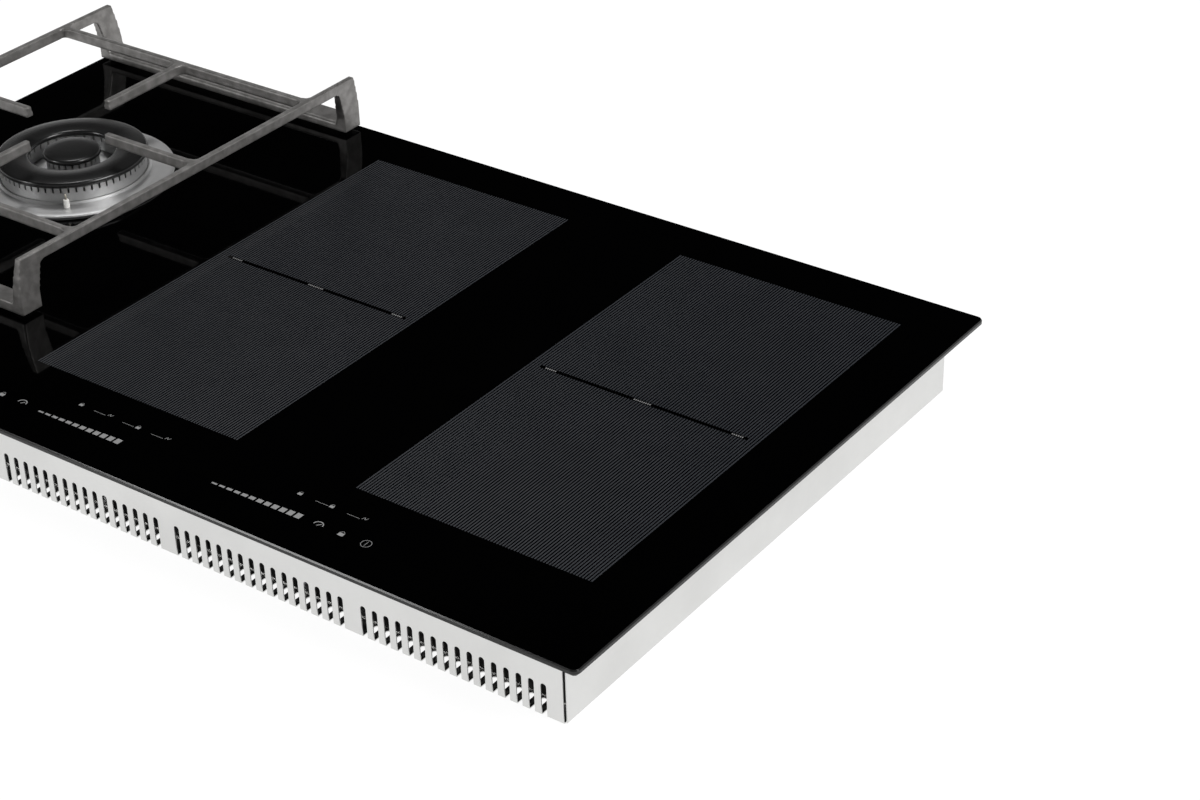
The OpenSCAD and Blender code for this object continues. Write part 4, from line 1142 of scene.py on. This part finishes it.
# %% Caps
def cap_profile(r_in, r_out, low, high):
    """A cap's section: a flat underside, round rims and a slight crown."""
    rim, soft, fall = 2.4, 0.6, 0.5
    points = [(r_in + (soft if r_in else 0), low), (r_out - soft, low), (r_out, low + soft)]
    points += arc((r_out - rim, high - fall - rim), rim, 0, 78, 7)
    if not r_in:
        return points + [(r_out * 0.6, high - 0.12), (r_out * 0.25, high), (0, high)]
    points.append(((r_in + r_out) / 2, high))
    points += arc((r_in + rim, high - fall - rim), rim, 102, 180, 7)
    return points + [(r_in, low + soft), (r_in + soft, low)]


def make_cap(node, name, r_in, r_out):
    low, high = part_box(node)
    piece = lathe(cap_profile(r_in, r_out, low.z / MM, high.z / MM), BURNER, 128)
    finish(piece, name, node, CAP_ENAMEL, [node], 50)


make_cap("outer_cap", "ring_cap", 36, 63)
make_cap("inner_cap", "centre_cap", 0, 24)


# %% Spark electrode
def make_electrode():
    low, high, middle = box_of("spark_electrode")
    base, neck, tip = low.z / MM, high.z / MM - 4.5, high.z / MM
    sleeve = [(0, base), (2.3, base), (2.5, base + 0.3), (2.5, neck - 1)]
    sleeve += arc((1.6, neck - 1), 0.9, 0, 90, 4) + [(0, neck)]
    pin = [(0, neck - 1), (0.9, neck - 1), (0.9, tip - 0.6), (0.5, tip), (0, tip)]
    finish(lathe(sleeve, middle.xy, 32), "electrode_sleeve", "casing",
           PLAIN["glazed_ceramic"], ["spark_electrode"])
    finish(lathe(pin, middle.xy, 24), "electrode_pin", "casing", PLAIN["sensor_steel"])


make_electrode()


# %% [markdown]
# ## Brushed metal
# The knob and its bezel are turned from solid aluminium and brushed round their axis. A brushed
# face is a noise that is stretched along the brushing. Here that is round an axis, so the noise
# takes only the distance from the axis and the height, both from the object coordinates.

# %% Brushed metal
knob_low, knob_high, knob_middle = box_of("control_knob")
KNOB = tuple(knob_middle.xy)


def turned_skin(recipe):
    point = recipe.node("TexCoord", output="Object")
    shift = (-KNOB[0], -KNOB[1], 0)
    beside = recipe.node("Mapping", {"Vector": point, "Location": shift})
    x, y, z = (recipe.node("SeparateXYZ", {0: beside}, axis) for axis in "XYZ")
    radius = (x * x + y * y).math("SQRT")
    fine = 2600
    rings = recipe.node("CombineXYZ", {"X": radius * fine, "Y": z * fine})
    brushed = recipe.noise(1, 2, rings)
    drift = recipe.noise(60, 2)
    return {"Base Color": recipe.mix(drift, (0.60, 0.605, 0.61), (0.68, 0.685, 0.69)),
            "Roughness": 0.24 + brushed * 0.16,
            "Normal": recipe.bump(brushed, 0.008 * MM)}


TURNED_ALLOY = surface("turned_alloy", turned_skin, Metallic=1.0)
print("turned metal ready")


# %% [markdown]
# ## Knob
# It is gripped by the fingertips, so its side has shallow flutes that fade towards the top, and a
# painted groove shows where it points. The body is a spun profile. The flutes are cones that a
# boolean takes out, wider at the top than at the base, since the grip is tapered.

# %% Knob and bezel
def make_knob():
    low, high = knob_low.z / MM, knob_high.z / MM
    skirt, grip_low, grip_high = 22, 19.9, 18.2
    profile = [(0, low), (skirt - 0.8, low), (skirt, low + 0.8), (skirt, low + 3.4)]
    profile += arc((skirt - 1.4, low + 3.6), 1.4, 0, 90, 5)
    profile += [(grip_low + 0.1, low + 5.2), (grip_low, low + 5.8)]
    profile += arc((grip_high - 1.3, high - 1.3), 1.3, 5, 90)
    profile += [(grip_high - 2.6, high - 0.35), (0, high - 0.7)]
    knob = lathe(profile, KNOB, 128)
    flutes, half_groove, groove_start = 28, 0.8, 6
    clear()
    bpy.ops.mesh.primitive_cone_add(vertices=20, radius1=1.3 * MM, radius2=2.3 * MM, depth=16 * MM,
                                    location=at(KNOB, 20.1, 0, low + 14))
    cutter = settle(bpy.context.active_object)
    groove = block(at(KNOB, -half_groove, groove_start, high - 1.5),
                   at(KNOB, half_groove, 25, high + 1))
    cut(knob, [around(cutter, flutes, KNOB), groove])
    finish(knob, "knob_body", "knob", TURNED_ALLOY, ["control_knob"], 40)
    paint = block(at(KNOB, -half_groove, groove_start, high - 1.6),
                  at(KNOB, half_groove, 16.9, high - 0.75))
    finish(paint, "knob_pointer", "knob", PLAIN["pointer_paint"])


def make_bezel():
    low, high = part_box("knob_bezel")
    inner, outer = 8, (high.x - low.x) / 2 / MM
    base, top = low.z / MM, high.z / MM
    profile = [(inner, base), (outer, base)] + arc((outer - 0.9, base + 0.6), 0.9, 0, 60, 4)
    profile += [(outer - 2.2, top), (inner + 0.4, top), (inner, top - 0.4), (inner, base)]
    finish(lathe(profile, KNOB, 128), "bezel_ring", "casing", TURNED_ALLOY,
           ["knob_bezel"])


make_knob()
make_bezel()


# %% [markdown]
# ## Fittings at the back
# Two things leave the casing at the back: the gas inlet, a brass fitting with a half-inch pipe
# thread, and the gland of the mains cable. A thread is a helix, but its rings look the same from
# any distance, so the profile is drawn with the thread's own pitch and spun.

# %% Gas inlet
def lay_back(piece, x, y, z):
    """Turns an upright piece so that its axis points to the back, and moves it to its place."""
    piece.rotation_euler = (-math.pi / 2, 0, 0)
    piece.location = (x, y, z)
    return settle(piece)


def make_gas_inlet():
    low, high, middle = box_of("gas_inlet")
    length = (high.y - low.y) / MM
    bore, crest, root, pitch, turns, sleeve = 7, 10.45, 9.35, 1.814, 6, 10.05
    start = length - 11.4
    profile = [(bore, 0), (sleeve, 0), (sleeve, start)]
    for i in range(turns):
        foot = start + 0.25 + i * pitch
        profile += [(root, foot), (crest, foot + 0.42 * pitch), (crest, foot + 0.58 * pitch)]
    profile += [(root, start + 0.25 + turns * pitch), (root - 0.3, length), (bore + 0.5, length),
                (bore, length - 0.5), (bore, 0)]
    fitting = lay_back(lathe(profile, steps=64), middle.x, low.y, middle.z)
    collar = lay_back(rod((0, 0), 15.4 * MM, 0, 14 * MM, 6), middle.x, low.y, middle.z)
    edit(collar)
    pick(collar, "EDGE", lambda middle, along: abs(along.y) < 0.1)
    bevel(0.8 * MM, 2)
    done()
    finish(join([fitting, collar]), "gas_inlet_fitting", "casing",
           PLAIN["turned_brass"], ["gas_inlet"])


make_gas_inlet()


# %% Cable gland
def make_gland():
    low, high, middle = box_of("cable_gland")
    length = (high.y - low.y) / MM
    bore, tube, flange, nut = 5.5, 10, 14, 13
    wall = length - 5
    nut_high = wall - 0.85
    nut_low = nut_high - 3
    profile = [(bore, 0), (tube, 0), (tube, nut_low), (nut, nut_low), (nut, nut_high),
               (tube, nut_high), (tube, wall), (flange, wall), (flange, wall + 1.4)]
    profile += arc((flange - 2.2, length - 2.2), 2.2, 20, 90, 5) + [(bore + 1.6, length)]
    profile += arc((bore + 1.2, length - 1.2), 1.2, 90, 180, 4) + [(bore, 0)]
    gland = lathe(profile)
    flute = rod((14.6 * MM, 0), 1.2 * MM, (wall + 1.6) * MM, (wall + 9.6) * MM, 16)
    cut(gland, [around(flute, 18, (0, 0))])
    lay_back(gland, middle.x, low.y, middle.z)
    finish(gland, "mains_gland", "casing", PLAIN["black_plastic"], ["cable_gland"])


make_gland()


# %% [markdown]
# ## Screws
# Ten countersunk screws hold the bottom plate, and three button-headed ones the burner. From
# below their cross recesses are what the eye finds first. One of each kind is spun, two crossed
# slots are cut into its head, and copies go to the places that the CAD screws have.

# %% Screws
def screw(profile):
    """A screw, head down, with a cross recess in its head."""
    deep, long, wide = 1.3 * MM, 1.9 * MM, 0.45 * MM
    head = profile[0][1] * MM
    low, high = head - MM, head + deep
    return cut(lathe(profile, steps=32), [block((-long, -wide, low), (long, wide, high)),
                                          block((-wide, -long, low), (wide, long, high))])


def copies(piece, places):
    """Copies of one piece at several places, joined."""
    made = []
    for place in places:
        twin = piece.copy()
        twin.data = piece.data.copy()
        bpy.context.scene.collection.objects.link(twin)
        twin.location = place
        made.append(settle(twin))
    bpy.data.objects.remove(piece)
    return join(made)


def make_screws():
    head, shank, thick, length = 3.2, 1.75, 1.6, 7
    casing_width = 2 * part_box("right_side_panel")[1].x
    pitch, line_y = casing_width / 4.5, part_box("screws")[1].y - head * MM
    sunk = [(0, 0), (head - 0.05, 0), (head, 0.1), (shank, thick), (shank, length - 1), (0, length)]
    sunk_places = [(i * pitch, s * line_y, 0) for i in range(-2, 3) for s in (-1, 1)]
    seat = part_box("burner_bracket")[1].z / MM - 1.2
    button = [(0, seat - 2.2), (2, seat - 2.2)] + arc((2.2, seat - 1), 1.2, -90, 0, 4)
    button += [(3.4, seat), (1.9, seat), (1.9, seat + 9.8), (0, seat + 9.8)]
    pieces = [copies(screw(sunk), sunk_places),
              copies(screw(button), [(*stud, 0) for stud in STUDS])]
    finish(join(pieces), "screw_set", "casing", PLAIN["zinc_screw"], ["screws"])


make_screws()
